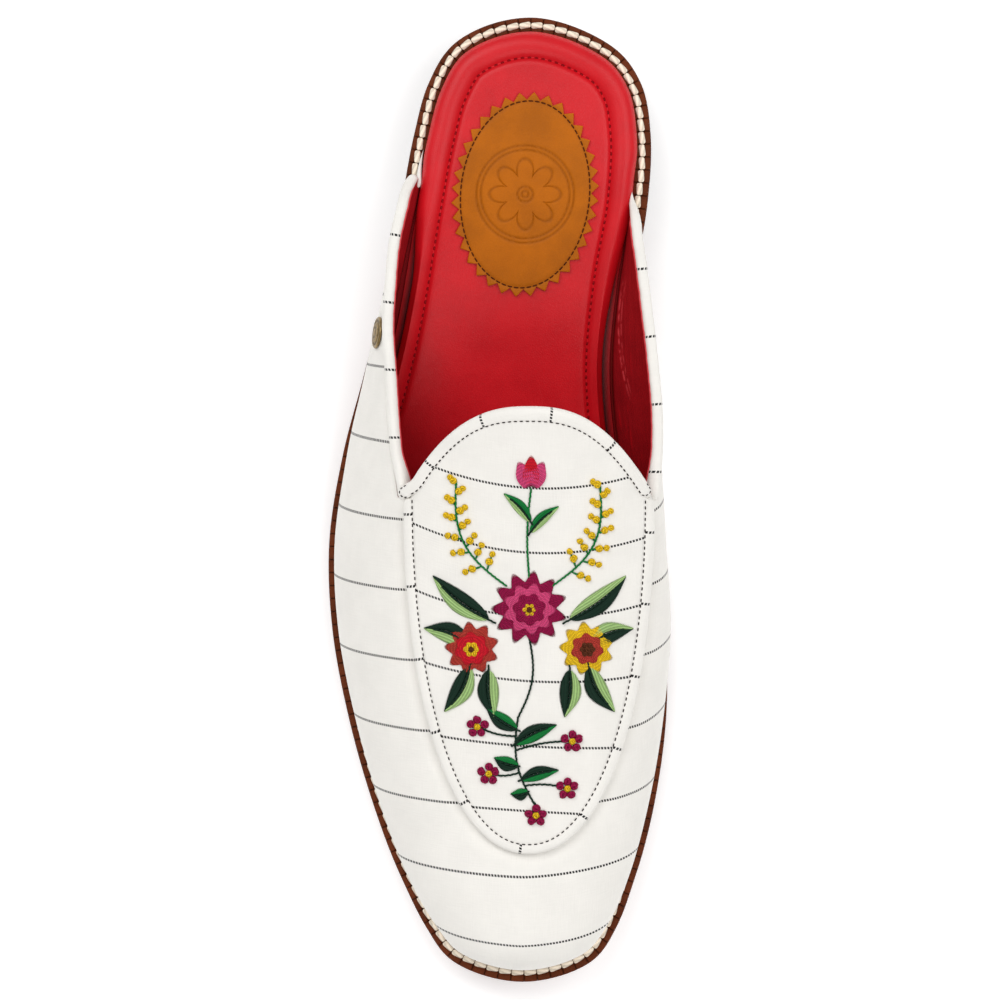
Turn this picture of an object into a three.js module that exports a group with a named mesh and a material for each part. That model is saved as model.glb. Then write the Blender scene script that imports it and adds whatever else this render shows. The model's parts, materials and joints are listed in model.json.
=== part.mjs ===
// A backless loafer (a mule) for the right foot: stitched sole, padded insole, cloth upper with an apron.
// Millimetres. +Z is up, the heel lies at +Y, the toe at -Y and the outer (lateral) side of the foot at -X.
import * as THREE from "three";
import { mergeVertices } from "three/addons/utils/BufferGeometryUtils.js";

const { lerp, clamp, smoothstep } = THREE.MathUtils;
const QUARTER_TURN = Math.PI / 2;
const SIDES = ["lateral", "medial"];

// Driving dimensions of the sole
const SOLE_LENGTH = 264;
const HEEL_POINT = { across: 8.5, along: SOLE_LENGTH / 2 };
const TOE_POINT = { across: 6.3, along: -SOLE_LENGTH / 2 };
const HEEL_LIFT = 17;
const TOE_SPRING = 9;
const TREAD_FRONT = -60; // the flat stretch that the forefoot stands on
const TREAD_BACK = -18;
const HEEL_SEAT = 92; // where the waist stops climbing
const HEEL_BLOCK = { breast: 70, breastLean: 3, topInset: 1.2, bottomInset: 2.2 };
const OUTSOLE_THICKNESS = 4.2;
const WELT_THICKNESS = 3;
const WELT_WIDTH = 11.5;
const GAP = 0.3;
const LEVEL_TOLERANCE = 0.01;
const NUDGE = 0.05; // step for measuring slopes

// Driving dimensions of the upper
const WALL = 1.6;
const FEATHER_INSET = 2.6; // foot of the wall, in from the edge of the sole
const INSOLE_INSET = FEATHER_INSET + WALL + GAP;
const BELLY_SHARE = 0.22; // share of a rib's parameter that lies below its widest point
const BINDING_WIDTH = 3;
const BINDING_HEIGHT = 2.6;
const QUARTER_END = { lateral: 88, medial: 82 };
const TOE_FAN_START = -98; // ribs cross the shoe squarely behind this, and fan out ahead of it
const CREST_END = -118;
const TOE_FAN_POWER = 2.15;
const APRON = { across: 7.8, halfWidth: 34, throat: 24.2, throatPower: 2.6, toe: 97.8, toePower: 2.15 };
const APRON_BAND_WIDTH = 2.8;
const APRON_PANEL_THICKNESS = 0.8;
const RIVET_ALONG = 45.2;
const RIVET_BELOW_BINDING = 5;
const PATCH = { across: 6.9, along: 83.3, halfWidth: 20.2, halfLength: 28.2, tilt: -0.09, teeth: 36 };
const PATCH_TOOTH = 2.1;
const PATCH_SPREAD = 0.08; // turns the teeth's angles so that they are spaced evenly round the oval
const PATCH_THICKNESS = 1.2;

// Edge of the sole on either side, by distance along the shoe.
const SOLE_EDGE = [
  { along: 124, lateral: -13, medial: 31 },
  { along: 114, lateral: -19.6, medial: 38.8 },
  { along: 100, lateral: -23.6, medial: 41.5 },
  { along: 80, lateral: -27.4, medial: 40.6 },
  { along: 58, lateral: -31.9, medial: 36.8 },
  { along: 35, lateral: -37.3, medial: 34.8 },
  { along: 12, lateral: -43.4, medial: 36.8 },
  { along: -12, lateral: -47.2, medial: 41.4 },
  { along: -36, lateral: -46.4, medial: 45.6 },
  { along: -60, lateral: -42, medial: 46 },
  { along: -84, lateral: -35.2, medial: 42.8 },
  { along: -104, lateral: -27.6, medial: 37.6 },
  { along: -118, lateral: -19.8, medial: 31.6 },
  { along: -127, lateral: -11.8, medial: 24.2 },
];

// The last's ridge line: its place across the shoe, and its height above the ground.
const CREST = [
  { along: 92, across: 8.4, height: 92 },
  { along: 72, across: 8.4, height: 87 },
  { along: 56, across: 8.4, height: 82 },
  { along: 40, across: 8.4, height: 76.5 },
  { along: 24, across: 8.3, height: 70.5 },
  { along: 6, across: 8.2, height: 63.5 },
  { along: -14, across: 8, height: 56.5 },
  { along: -36, across: 7.8, height: 50 },
  { along: -58, across: 7.6, height: 44.6 },
  { along: -82, across: 7.3, height: 39.6 },
  { along: -104, across: 6.9, height: 35.6 },
  { along: -132, across: 6.5, height: 31 },
];

// The last's walls. out: how far the widest line stands beyond the sole's edge. belly: that line's height
// above the wall's foot. round: fullness of the shoulder above it.
const WALLS = {
  lateral: [
    { along: 92, out: 0.2, belly: 6, round: 2 },
    { along: 72, out: 0.9, belly: 9, round: 1.8 },
    { along: 56, out: 0.4, belly: 8, round: 1.77 },
    { along: 40, out: 0.6, belly: 8, round: 1.68 },
    { along: 24, out: -0.6, belly: 8, round: 1.8 },
    { along: 6, out: -1.5, belly: 8, round: 1.95 },
    { along: -14, out: -1.7, belly: 8, round: 2.1 },
    { along: -36, out: -1.8, belly: 7.5, round: 2.2 },
    { along: -58, out: -1.9, belly: 7, round: 2.25 },
    { along: -82, out: -1.9, belly: 6.5, round: 2.3 },
    { along: -104, out: -1.9, belly: 6, round: 2.25 },
    { along: -132, out: -1.9, belly: 6, round: 2.2 },
  ],
  medial: [
    { along: 92, out: 0, belly: 5, round: 2 },
    { along: 72, out: 0.2, belly: 12, round: 2.2 },
    { along: 56, out: 4.2, belly: 19, round: 2.3 },
    { along: 40, out: 7.6, belly: 25, round: 2.4 },
    { along: 24, out: 8.6, belly: 30, round: 2.5 },
    { along: 6, out: 6.8, belly: 31, round: 2.6 },
    { along: -14, out: 4, belly: 25, round: 2.6 },
    { along: -36, out: 1.4, belly: 16, round: 2.5 },
    { along: -58, out: -0.8, belly: 9.5, round: 2.4 },
    { along: -82, out: -1.7, belly: 7, round: 2.3 },
    { along: -104, out: -1.9, belly: 6.2, round: 2.25 },
    { along: -132, out: -1.9, belly: 6, round: 2.2 },
  ],
};

// Height of the collar's finished edge above the foot of the wall.
const COLLAR = [
  { along: 88, lateral: 4.4, medial: 4 },
  { along: 82, lateral: 9.4, medial: 4.4 },
  { along: 76, lateral: 12.4, medial: 9.2 },
  { along: 66, lateral: 16.8, medial: 15 },
  { along: 55, lateral: 22, medial: 20.2 },
  { along: 43, lateral: 27.6, medial: 26 },
  { along: 32, lateral: 33, medial: 31.4 },
  { along: 21, lateral: 37.4, medial: 36 },
  { along: 10, lateral: 40.6, medial: 39.6 },
  { along: 0, lateral: 42.4, medial: 41.8 },
];

// Cross-sections as rows of inset from the edge and rise above the piece's own base.
const OUTSOLE_SECTION = [
  { inset: 2, rise: 0 },
  { inset: 0.9, rise: 1 },
  { inset: 0.6, rise: OUTSOLE_THICKNESS },
];
const WELT_SECTION = [
  { inset: 0.4, rise: 0 },
  { inset: 0, rise: 0.8 },
  { inset: 0, rise: 2.3 },
  { inset: 0.6, rise: WELT_THICKNESS },
  { inset: WELT_WIDTH, rise: WELT_THICKNESS },
  { inset: WELT_WIDTH, rise: 0 },
];
const INSOLE_FLAT = 3.7;
const INSOLE_SECTION = [
  { inset: WELT_WIDTH + GAP, rise: -WELT_THICKNESS },
  { inset: WELT_WIDTH + GAP, rise: 0 },
  { inset: INSOLE_INSET + 0.3, rise: 0 },
  { inset: INSOLE_INSET, rise: 1.5 },
  { inset: INSOLE_INSET + 0.9, rise: 3.4 },
  { inset: INSOLE_INSET + 3, rise: 4.4 },
  { inset: INSOLE_INSET + 5.4, rise: 3.8 },
  { inset: INSOLE_INSET + 6.6, rise: 3.2 },
  { inset: INSOLE_INSET + 8.4, rise: INSOLE_FLAT },
];
const BAND_SECTION = [
  { inset: 0.15, rise: GAP },
  { inset: 0, rise: 0.9 },
  { inset: 0.7, rise: 1.6 },
  { inset: 2.1, rise: 1.6 },
  { inset: APRON_BAND_WIDTH, rise: 0.9 },
  { inset: 2.65, rise: GAP },
];
const RIVET_PROFILE = [
  { radius: 0, rise: 0 },
  { radius: 4.2, rise: 0 },
  { radius: 4.4, rise: 0.5 },
  { radius: 4, rise: 1.1 },
  { radius: 2.8, rise: 1.6 },
  { radius: 1.4, rise: 1.8 },
  { radius: 0, rise: 1.9 },
];

const COLOURS = {
  cloth: 0xf0eee9,
  soleLeather: 0x5f3426,
  heelLeather: 0x452619,
  insoleLeather: 0xc81e28,
  patchLeather: 0xb9701e,
  brass: 0x8a7340,
};

// A table's column as a smooth function of the distance along the shoe, held level past its ends.
function column(rows, name) {
  const slope = (i) => {
    const before = rows[Math.max(i - 1, 0)];
    const after = rows[Math.min(i + 1, rows.length - 1)];
    return (after[name] - before[name]) / (after.along - before.along);
  };
  return (along) => {
    const ahead = rows.findIndex((row) => row.along <= along);
    const i = clamp(ahead < 0 ? rows.length - 2 : ahead - 1, 0, rows.length - 2);
    const span = rows[i + 1].along - rows[i].along;
    const t = clamp((along - rows[i].along) / span, 0, 1);
    const rest = 1 - t;
    const ends = rows[i][name] * rest * rest * (1 + 2 * t) + rows[i + 1][name] * t * t * (3 - 2 * t);
    return ends + span * (slope(i) * t * rest * rest - slope(i + 1) * t * t * rest);
  };
}

function columnsOf(rows) {
  return Object.fromEntries(Object.keys(rows[0]).map((name) => [name, column(rows, name)]));
}

const crest = columnsOf(CREST);
const walls = { lateral: columnsOf(WALLS.lateral), medial: columnsOf(WALLS.medial) };
const collar = columnsOf(COLLAR);

// Heights along the shoe: underside of the outsole, its top, the seat of the insole and of the upper's wall.
function tread(along) {
  const climb = smoothstep(along, TREAD_BACK, HEEL_SEAT);
  const spring = Math.max(0, (TREAD_FRONT - along) / (TREAD_FRONT - TOE_POINT.along));
  return HEEL_LIFT * climb + TOE_SPRING * spring * spring;
}

function weltBase(along) {
  return tread(along) + OUTSOLE_THICKNESS + GAP;
}

function upperSeat(along) {
  return weltBase(along) + WELT_THICKNESS + GAP;
}

// Collects triangles, and joins their shared corners into one closed skin.
class Skin {
  corners = [];

  triangle(a, b, c) {
    this.corners.push(...a, ...b, ...c);
  }

  quad(a, b, c, d) {
    this.triangle(a, b, c);
    this.triangle(a, c, d);
  }

  geometry() {
    const loose = new THREE.BufferGeometry();
    loose.setAttribute("position", new THREE.Float32BufferAttribute(this.corners, 3));
    const joined = mergeVertices(loose, 1e-4);
    const kept = [];
    for (let i = 0; i < joined.index.count; i += 3) {
      const [a, b, c] = joined.index.array.slice(i, i + 3);
      if (a !== b && b !== c && c !== a) kept.push(a, b, c);
    }
    joined.setIndex(kept);
    joined.computeVertexNormals();
    return joined;
  }
}

// The two sides of the sole's edge from the heel to the toe, evenly spaced, with their outward directions.
function soleEdge(steps) {
  const onSide = (side) => SOLE_EDGE.map((row) => new THREE.Vector3(row[side], row.along, 0));
  const heel = new THREE.Vector3(HEEL_POINT.across, HEEL_POINT.along, 0);
  const toe = new THREE.Vector3(TOE_POINT.across, TOE_POINT.along, 0);
  const round = [heel, ...onSide("lateral"), toe, ...onSide("medial").reverse()];
  const curve = new THREE.CatmullRomCurve3(round, true, "centripetal");
  curve.arcLengthDivisions = 1000;
  const lengths = curve.getLengths();
  const toeShare = lengths[500] / lengths[1000];
  const place = (share) => {
    const point = curve.getPointAt(share);
    const tangent = curve.getTangentAt(share);
    return { x: point.x, y: point.y, outX: tangent.y, outY: -tangent.x };
  };
  const step = (i) => i / steps;
  const lateral = Array.from({ length: steps + 1 }, (_, i) => place(toeShare * step(i)));
  const medial = Array.from({ length: steps + 1 }, (_, i) => place(1 - (1 - toeShare) * step(i)));
  medial[0] = lateral[0];
  medial[steps] = lateral[steps];
  return { lateral, medial };
}

// The edge moved in by a fixed or a varying inset.
function insetEdge(points, inset) {
  return points.map((p) => {
    const distance = typeof inset === "function" ? inset(p.y) : inset;
    return { x: p.x - p.outX * distance, y: p.y - p.outY * distance };
  });
}

// Where an edge that runs from heel to toe crosses a distance along the shoe.
function acrossAt(points, along) {
  const next = clamp(points.findIndex((p) => p.y <= along), 1, points.length - 1);
  const from = points[next - 1];
  const to = points[next];
  return lerp(from.x, to.x, clamp((along - from.y) / (to.y - from.y), 0, 1));
}

// A stretch of an edge between two distances along the shoe, in even steps of length.
function stretch(points, start, end, steps) {
  const at = (along) => ({ x: acrossAt(points, along), y: along });
  const first = points.findIndex((p) => p.y < start);
  const beyond = points.findIndex((p) => p.y < end);
  const inner = beyond < 0 ? points.slice(first) : [...points.slice(first, beyond), at(end)];
  return evenly(first > 0 ? [at(start), ...inner] : inner, steps);
}

// Points spaced evenly along a line of points.
function evenly(line, steps) {
  const reach = [0];
  for (let i = 1; i < line.length; i += 1) {
    reach.push(reach[i - 1] + Math.hypot(line[i].x - line[i - 1].x, line[i].y - line[i - 1].y));
  }
  return Array.from({ length: steps + 1 }, (_, i) => {
    const wanted = (reach.at(-1) * i) / steps;
    const found = reach.findIndex((r) => r >= wanted);
    const next = found < 0 ? line.length - 1 : Math.max(found, 1);
    const t = clamp((wanted - reach[next - 1]) / (reach[next] - reach[next - 1]), 0, 1);
    return { x: lerp(line[next - 1].x, line[next].x, t), y: lerp(line[next - 1].y, line[next].y, t) };
  });
}

// A loop of two sides that start together, as rows of corners: down the outer side and back up the inner.
function loopOf(sides, height) {
  const lift = (p) => [p.x, p.y, height(p.x, p.y)];
  return [...sides.lateral.map(lift), ...sides.medial.map(lift).reverse()];
}

// Walls between two loops, the second above or inside the first.
function skinBetween(skin, lower, upper) {
  lower.forEach((corner, i) => {
    const next = (i + 1) % lower.length;
    skin.quad(corner, lower[next], upper[next], upper[i]);
  });
}

// Closes a loop with rungs between its two sides.
function skinCap(skin, loop, facesUp) {
  const count = loop.length;
  for (let i = 0; i < count / 2 - 1; i += 1) {
    const rung = [loop[i], loop[i + 1], loop[count - 2 - i], loop[count - 1 - i]];
    skin.quad(...(facesUp ? rung : rung.reverse()));
  }
}

// A solid through a stack of loops, from its lower cap to its upper one.
function stackSolid(loops) {
  const skin = new Skin();
  skinCap(skin, loops[0], false);
  loops.slice(1).forEach((loop, i) => skinBetween(skin, loops[i], loop));
  skinCap(skin, loops.at(-1), true);
  return skin.geometry();
}

// A ring whose loops run round its section and close on the first.
function ringSolid(loops) {
  const skin = new Skin();
  loops.forEach((loop, i) => skinBetween(skin, loop, loops[(i + 1) % loops.length]));
  return skin.geometry();
}

// A bar through a row of like sections, closed at both ends.
function barSolid(sections) {
  const skin = new Skin();
  const fan = (section, turn) => {
    for (let i = 1; i < section.length - 1; i += 1) {
      const corners = [section[0], section[i], section[i + 1]];
      skin.triangle(...(turn ? corners.reverse() : corners));
    }
  };
  fan(sections[0], true);
  sections.slice(1).forEach((section, i) => skinBetween(skin, sections[i], section));
  fan(sections.at(-1), false);
  return skin.geometry();
}

// Gives an open skin a wall: its inner face, and a rim along every free edge. The wall's foot stays level.
function thicken(outer, thickness, isFoot) {
  const places = outer.attributes.position;
  const normals = outer.attributes.normal;
  const outside = [];
  const inside = [];
  for (let i = 0; i < places.count; i += 1) {
    const place = new THREE.Vector3().fromBufferAttribute(places, i);
    const normal = new THREE.Vector3().fromBufferAttribute(normals, i);
    if (isFoot(place)) normal.setZ(0).normalize();
    outside.push(place.toArray());
    inside.push(place.clone().addScaledVector(normal, -thickness).toArray());
  }
  const skin = new Skin();
  const used = new Set();
  const faces = [];
  for (let i = 0; i < outer.index.count; i += 3) {
    const face = [...outer.index.array.slice(i, i + 3)];
    faces.push(face);
    face.forEach((corner, k) => used.add(`${corner} ${face[(k + 1) % 3]}`));
  }
  faces.forEach((face) => {
    skin.triangle(...face.map((corner) => outside[corner]));
    skin.triangle(...face.map((corner) => inside[corner]).reverse());
    face.forEach((from, k) => {
      const to = face[(k + 1) % 3];
      if (!used.has(`${to} ${from}`)) skin.quad(outside[to], outside[from], inside[from], inside[to]);
    });
  });
  return skin.geometry();
}

// Edges that the upper stands on and swells to.
const fineEdge = soleEdge(240);
const foot = {};
const belly = {};
SIDES.forEach((side) => {
  foot[side] = insetEdge(fineEdge[side], FEATHER_INSET);
  belly[side] = insetEdge(fineEdge[side], (along) => -walls[side].out(along));
});

// A rib of the last runs from the foot of the wall, out to its belly and over to the crest.
function ribBetween(side, footAt, bellyAt, crestAlong) {
  const seat = upperSeat(footAt.y);
  return {
    foot: new THREE.Vector3(footAt.x, footAt.y, seat),
    belly: new THREE.Vector3(bellyAt.x, bellyAt.y, seat + walls[side].belly(footAt.y)),
    crest: new THREE.Vector3(crest.across(crestAlong), crestAlong, crest.height(crestAlong)),
    round: walls[side].round(footAt.y),
  };
}

function rib(side, along) {
  const on = (edge) => ({ x: acrossAt(edge[side], along), y: along });
  return ribBetween(side, on(foot), on(belly), along);
}

// A place on a rib: a leaning wall up to the belly, then a quarter of a superellipse up to the crest.
function onRib(r, t) {
  if (t < BELLY_SHARE) {
    const share = t / BELLY_SHARE;
    const lean = Math.sin(share * QUARTER_TURN);
    const place = r.foot.clone().lerp(r.belly, lean);
    return place.setZ(lerp(r.foot.z, r.belly.z, share)).toArray();
  }
  const angle = ((t - BELLY_SHARE) / (1 - BELLY_SHARE)) * QUARTER_TURN;
  const outward = Math.max(Math.cos(angle), 0) ** (2 / r.round);
  const upward = Math.sin(angle) ** (2 / r.round);
  return [
    lerp(r.crest.x, r.belly.x, outward),
    lerp(r.crest.y, r.belly.y, outward),
    lerp(r.belly.z, r.crest.z, upward),
  ];
}

// The parameter of a rib at a height above the wall's foot, and at a distance across the shoe.
function shareAtRise(r, rise) {
  const bellyRise = r.belly.z - r.foot.z;
  if (rise <= bellyRise) return (BELLY_SHARE * rise) / bellyRise;
  const upward = (rise - bellyRise) / (r.crest.z - r.belly.z);
  return lerp(BELLY_SHARE, 1, Math.asin(upward ** (r.round / 2)) / QUARTER_TURN);
}

function shareAcross(r, across) {
  const outward = clamp((across - r.crest.x) / (r.belly.x - r.crest.x), 0, 1);
  return lerp(BELLY_SHARE, 1, Math.acos(outward ** (r.round / 2)) / QUARTER_TURN);
}

// The upper's outer face over a place, and its outward direction there.
function upperHeight(across, along) {
  const r = rib(across < crest.across(along) ? "lateral" : "medial", along);
  return onRib(r, shareAcross(r, across))[2];
}

function aboveUpper(across, along, rise) {
  const slopeX = (upperHeight(across + NUDGE, along) - upperHeight(across - NUDGE, along)) / (2 * NUDGE);
  const slopeY = (upperHeight(across, along + NUDGE) - upperHeight(across, along - NUDGE)) / (2 * NUDGE);
  const out = new THREE.Vector3(-slopeX, -slopeY, 1).normalize();
  const base = new THREE.Vector3(across, along, upperHeight(across, along));
  return base.addScaledVector(out, rise).toArray();
}

// The apron's outline: an arched throat and a long rounded toe, meeting at a corner on each side.
function throatAlong(across) {
  const share = Math.abs(across - APRON.across) / APRON.halfWidth;
  return APRON.throat * (1 - share ** APRON.throatPower);
}

function apronEdge(steps) {
  const fine = 200;
  const throat = Array.from({ length: fine }, (_, i) => {
    const out = Math.sin((i / fine) * QUARTER_TURN);
    return { out: out * APRON.halfWidth, y: throatAlong(APRON.across + out * APRON.halfWidth) };
  });
  const toe = Array.from({ length: fine + 1 }, (_, i) => {
    const angle = (i / fine) * QUARTER_TURN;
    const out = Math.max(Math.cos(angle), 0) ** (2 / APRON.toePower);
    return { out: out * APRON.halfWidth, y: -APRON.toe * Math.sin(angle) ** (2 / APRON.toePower) };
  });
  const half = evenly([...throat, ...toe].map((p) => ({ x: p.out, y: p.y })), steps);
  const directed = half.map((p, i) => {
    const before = i === 0 ? { x: -half[1].x, y: half[1].y } : half[i - 1];
    const after = i === steps ? { x: -half[i - 1].x, y: half[i - 1].y } : half[i + 1];
    const length = Math.hypot(after.x - before.x, after.y - before.y);
    return { ...p, outX: (before.y - after.y) / length, outY: (after.x - before.x) / length };
  });
  const placed = (sign) => directed.map((p) => ({
    x: APRON.across + sign * p.x, y: p.y, outX: sign * p.outX, outY: p.outY,
  }));
  return { lateral: placed(-1), medial: placed(1) };
}

// Sole pieces
function stackOf(edge, section, base) {
  return section.map((row) => {
    const sides = Object.fromEntries(SIDES.map((side) => [side, insetEdge(edge[side], row.inset)]));
    return loopOf(sides, (x, y) => base(y) + row.rise);
  });
}

const ringEdge = soleEdge(42);

function outsoleGeometry() {
  return stackSolid(stackOf(ringEdge, OUTSOLE_SECTION, tread));
}

function weltGeometry() {
  return ringSolid(stackOf(ringEdge, WELT_SECTION, weltBase));
}

function insoleGeometry() {
  return stackSolid(stackOf(ringEdge, INSOLE_SECTION, upperSeat));
}

function heelGeometry() {
  const steps = 16;
  const loopAt = (inset, breast, height) => {
    const onSide = (side) => {
      return stretch(insetEdge(fineEdge[side], inset), SOLE_LENGTH, breast, steps);
    };
    return loopOf({ lateral: onSide("lateral"), medial: onSide("medial") }, height);
  };
  const bottom = loopAt(HEEL_BLOCK.bottomInset, HEEL_BLOCK.breast + HEEL_BLOCK.breastLean, () => 0);
  const top = loopAt(HEEL_BLOCK.topInset, HEEL_BLOCK.breast, (x, y) => tread(y) - GAP);
  return stackSolid([bottom, top]);
}

// The oval patch lies on the insole, with teeth cut all round its edge.
function patchGeometry() {
  const half = PATCH.teeth;
  const toothed = (sign) => Array.from({ length: half + 1 }, (_, i) => {
    const even = (i / half) * Math.PI;
    const angle = even + PATCH_SPREAD * Math.sin(2 * even);
    const depth = i % 2 === 0 ? 0 : PATCH_TOOTH;
    const x = sign * Math.sin(angle) * (PATCH.halfWidth - depth);
    const y = Math.cos(angle) * (PATCH.halfLength - depth);
    const turn = { cos: Math.cos(PATCH.tilt), sin: Math.sin(PATCH.tilt) };
    return {
      x: PATCH.across + x * turn.cos - y * turn.sin,
      y: PATCH.along + x * turn.sin + y * turn.cos,
    };
  });
  const sides = { lateral: toothed(-1), medial: toothed(1) };
  const seat = (x, y) => upperSeat(y) + INSOLE_FLAT + GAP;
  return stackSolid([loopOf(sides, seat), loopOf(sides, (x, y) => seat(x, y) + PATCH_THICKNESS)]);
}

// The upper: a low wall on each quarter, a full-width vamp slanting back to the throat, and a fanned toe.
const WALL_ROWS = 6;
const VAMP_ROWS = 10;

function wallTop(side, along) {
  return shareAtRise(rib(side, along), collar[side](along) - BINDING_HEIGHT);
}

function rowShares(side) {
  const notch = wallTop(side, 0);
  const sign = side === "lateral" ? -1 : 1;
  const corner = shareAcross(rib(side, 0), APRON.across + sign * APRON.halfWidth);
  const wall = Array.from({ length: WALL_ROWS + 1 }, (_, i) => (notch * i) / WALL_ROWS);
  const vamp = Array.from({ length: VAMP_ROWS + 1 }, (_, i) => lerp(corner, 1, i / VAMP_ROWS));
  return [...wall, ...vamp];
}

function quarterColumns(side) {
  const steps = 12;
  return Array.from({ length: steps + 1 }, (_, i) => {
    const along = QUARTER_END[side] * Math.cos((i / steps) * QUARTER_TURN);
    const r = rib(side, along);
    const top = wallTop(side, along);
    return Array.from({ length: WALL_ROWS + 1 }, (_, k) => onRib(r, (top * k) / WALL_ROWS));
  });
}

// Distance along the shoe at which the throat's edge crosses a rib's parameter.
function throatAt(side, share) {
  let along = 0;
  for (let turn = 0; turn < 30; turn += 1) {
    along = Math.max(0, throatAlong(onRib(rib(side, along), share)[0]));
  }
  return along;
}

function vampColumns(side) {
  const steps = 17;
  const shares = rowShares(side);
  const slant = shares.map((share) => throatAt(side, share) / APRON.throat);
  return Array.from({ length: steps + 1 }, (_, i) => {
    const share = i / steps;
    const reach = APRON.throat * (1 - smoothstep(share, 0, 0.8));
    const along = lerp(APRON.throat, TOE_FAN_START, share) - reach;
    return shares.map((t, k) => onRib(rib(side, along + reach * slant[k]), t));
  });
}

// The ribs' crests bunch up behind the toe. Both sides take up the same rows there, to meet corner to corner.
function toeColumns(side) {
  const steps = 12;
  const toeFoot = stretch(foot[side], TOE_FAN_START, -SOLE_LENGTH, steps);
  const toeBelly = stretch(belly[side], TOE_FAN_START, -SOLE_LENGTH, steps);
  const shares = rowShares(side);
  const tipShares = rowShares("lateral").map((t, k) => (t + rowShares("medial")[k]) / 2);
  return toeFoot.map((footAt, i) => {
    const turned = i / steps;
    const crestAlong = lerp(CREST_END, TOE_FAN_START, (1 - turned) ** TOE_FAN_POWER);
    const r = ribBetween(turned === 1 ? "lateral" : side, footAt, toeBelly[i], crestAlong);
    return shares.map((t, k) => onRib(r, lerp(t, tipShares[k], turned)));
  });
}

function upperGeometry() {
  const skin = new Skin();
  SIDES.forEach((side) => {
    [quarterColumns(side), vampColumns(side), toeColumns(side)].forEach((columns) => {
      columns.slice(1).forEach((ahead, i) => {
        ahead.slice(1).forEach((_, k) => {
          const corners = [columns[i][k], ahead[k], ahead[k + 1], columns[i][k + 1]];
          skin.quad(...(side === "lateral" ? corners : corners.reverse()));
        });
      });
    });
  });
  return thicken(skin.geometry(), WALL, (place) => Math.abs(place.z - upperSeat(place.y)) < LEVEL_TOLERANCE);
}

// The apron lies on the upper, with a raised band sewn all round its edge.
function apronGeometry() {
  const edge = apronEdge(26);
  const columns = 16;
  const inset = APRON_BAND_WIDTH + GAP;
  const lateral = insetEdge(edge.lateral, inset);
  const medial = insetEdge(edge.medial, inset);
  const grid = (rise) => lateral.map((left, i) => Array.from({ length: columns + 1 }, (_, k) => {
    const share = (1 - Math.cos((k / columns) * Math.PI)) / 2;
    return aboveUpper(lerp(left.x, medial[i].x, share), lerp(left.y, medial[i].y, share), rise);
  }));
  const skin = new Skin();
  const rows = grid(GAP + APRON_PANEL_THICKNESS);
  rows.slice(1).forEach((next, i) => {
    next.slice(1).forEach((_, k) => skin.quad(rows[i][k], next[k], next[k + 1], rows[i][k + 1]));
  });
  return thicken(skin.geometry(), APRON_PANEL_THICKNESS, () => false);
}

function apronBandGeometry() {
  const edge = apronEdge(40);
  return ringSolid(BAND_SECTION.map((row) => {
    const onSide = (side) => insetEdge(edge[side], row.inset).map((p) => aboveUpper(p.x, p.y, row.rise));
    return [...onSide("lateral"), ...onSide("medial").reverse()];
  }));
}

// The rolled binding sits on the quarter's free edge, from the apron's corner back to the heel end.
function collarBindingGeometry(side) {
  const steps = 24;
  const halfWidth = BINDING_WIDTH / 2;
  const section = [
    { out: -halfWidth + 0.2, up: GAP + 0.1 },
    { out: halfWidth - 0.2, up: GAP + 0.1 },
    { out: halfWidth, up: 1.1 },
    { out: 1.1, up: 2.1 },
    { out: 0.4, up: BINDING_HEIGHT },
    { out: -0.4, up: BINDING_HEIGHT },
    { out: -1.1, up: 2.1 },
    { out: -halfWidth, up: 1.1 },
  ];
  const frontEnd = 1;
  const sections = Array.from({ length: steps + 1 }, (_, i) => {
    const along = lerp(frontEnd, QUARTER_END[side], Math.sin((i / steps) * QUARTER_TURN));
    const edge = wallEdge(side, along);
    return section.map((row) => {
      const place = edge.middle.clone().addScaledVector(edge.out, row.out);
      return place.addScaledVector(edge.up, row.up).toArray();
    });
  });
  return barSolid(side === "lateral" ? sections : sections.map((row) => row.reverse()));
}

// The middle of the quarter's free edge, with the directions out of the wall and up it.
function wallEdge(side, along) {
  return wallFrame(side, along, wallTop(side, along));
}

function wallFrame(side, along, share) {
  const nudge = 0.01; // of the rib's parameter
  const vector = (r, t) => new THREE.Vector3(...onRib(r, t));
  const here = rib(side, along);
  const outer = vector(here, share);
  const up = vector(here, share + nudge).sub(vector(here, share - nudge)).normalize();
  const run = vector(rib(side, along + 1), share).sub(vector(rib(side, along - 1), share)).normalize();
  const out = new THREE.Vector3().crossVectors(up, run).multiplyScalar(side === "lateral" ? 1 : -1);
  out.normalize();
  return { middle: outer.clone().addScaledVector(out, -WALL / 2), outer, out, up };
}

function rivetMesh() {
  const profile = RIVET_PROFILE.map((row) => new THREE.Vector2(row.radius, row.rise));
  const rise = collar.lateral(RIVET_ALONG) - BINDING_HEIGHT - RIVET_BELOW_BINDING;
  const seat = wallFrame("lateral", RIVET_ALONG, shareAtRise(rib("lateral", RIVET_ALONG), rise));
  const material = new THREE.MeshStandardMaterial({ color: COLOURS.brass, roughness: 0.35, metalness: 1 });
  const mesh = new THREE.Mesh(new THREE.LatheGeometry(profile, 20), material);
  mesh.name = "rivet";
  mesh.position.copy(seat.outer).addScaledVector(seat.out, GAP);
  mesh.quaternion.setFromUnitVectors(new THREE.Vector3(0, 1, 0), seat.out);
  return mesh;
}

function piece(name, geometry, color, roughness) {
  const mesh = new THREE.Mesh(geometry, new THREE.MeshStandardMaterial({ color, roughness, metalness: 0 }));
  mesh.name = name;
  return mesh;
}

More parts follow.
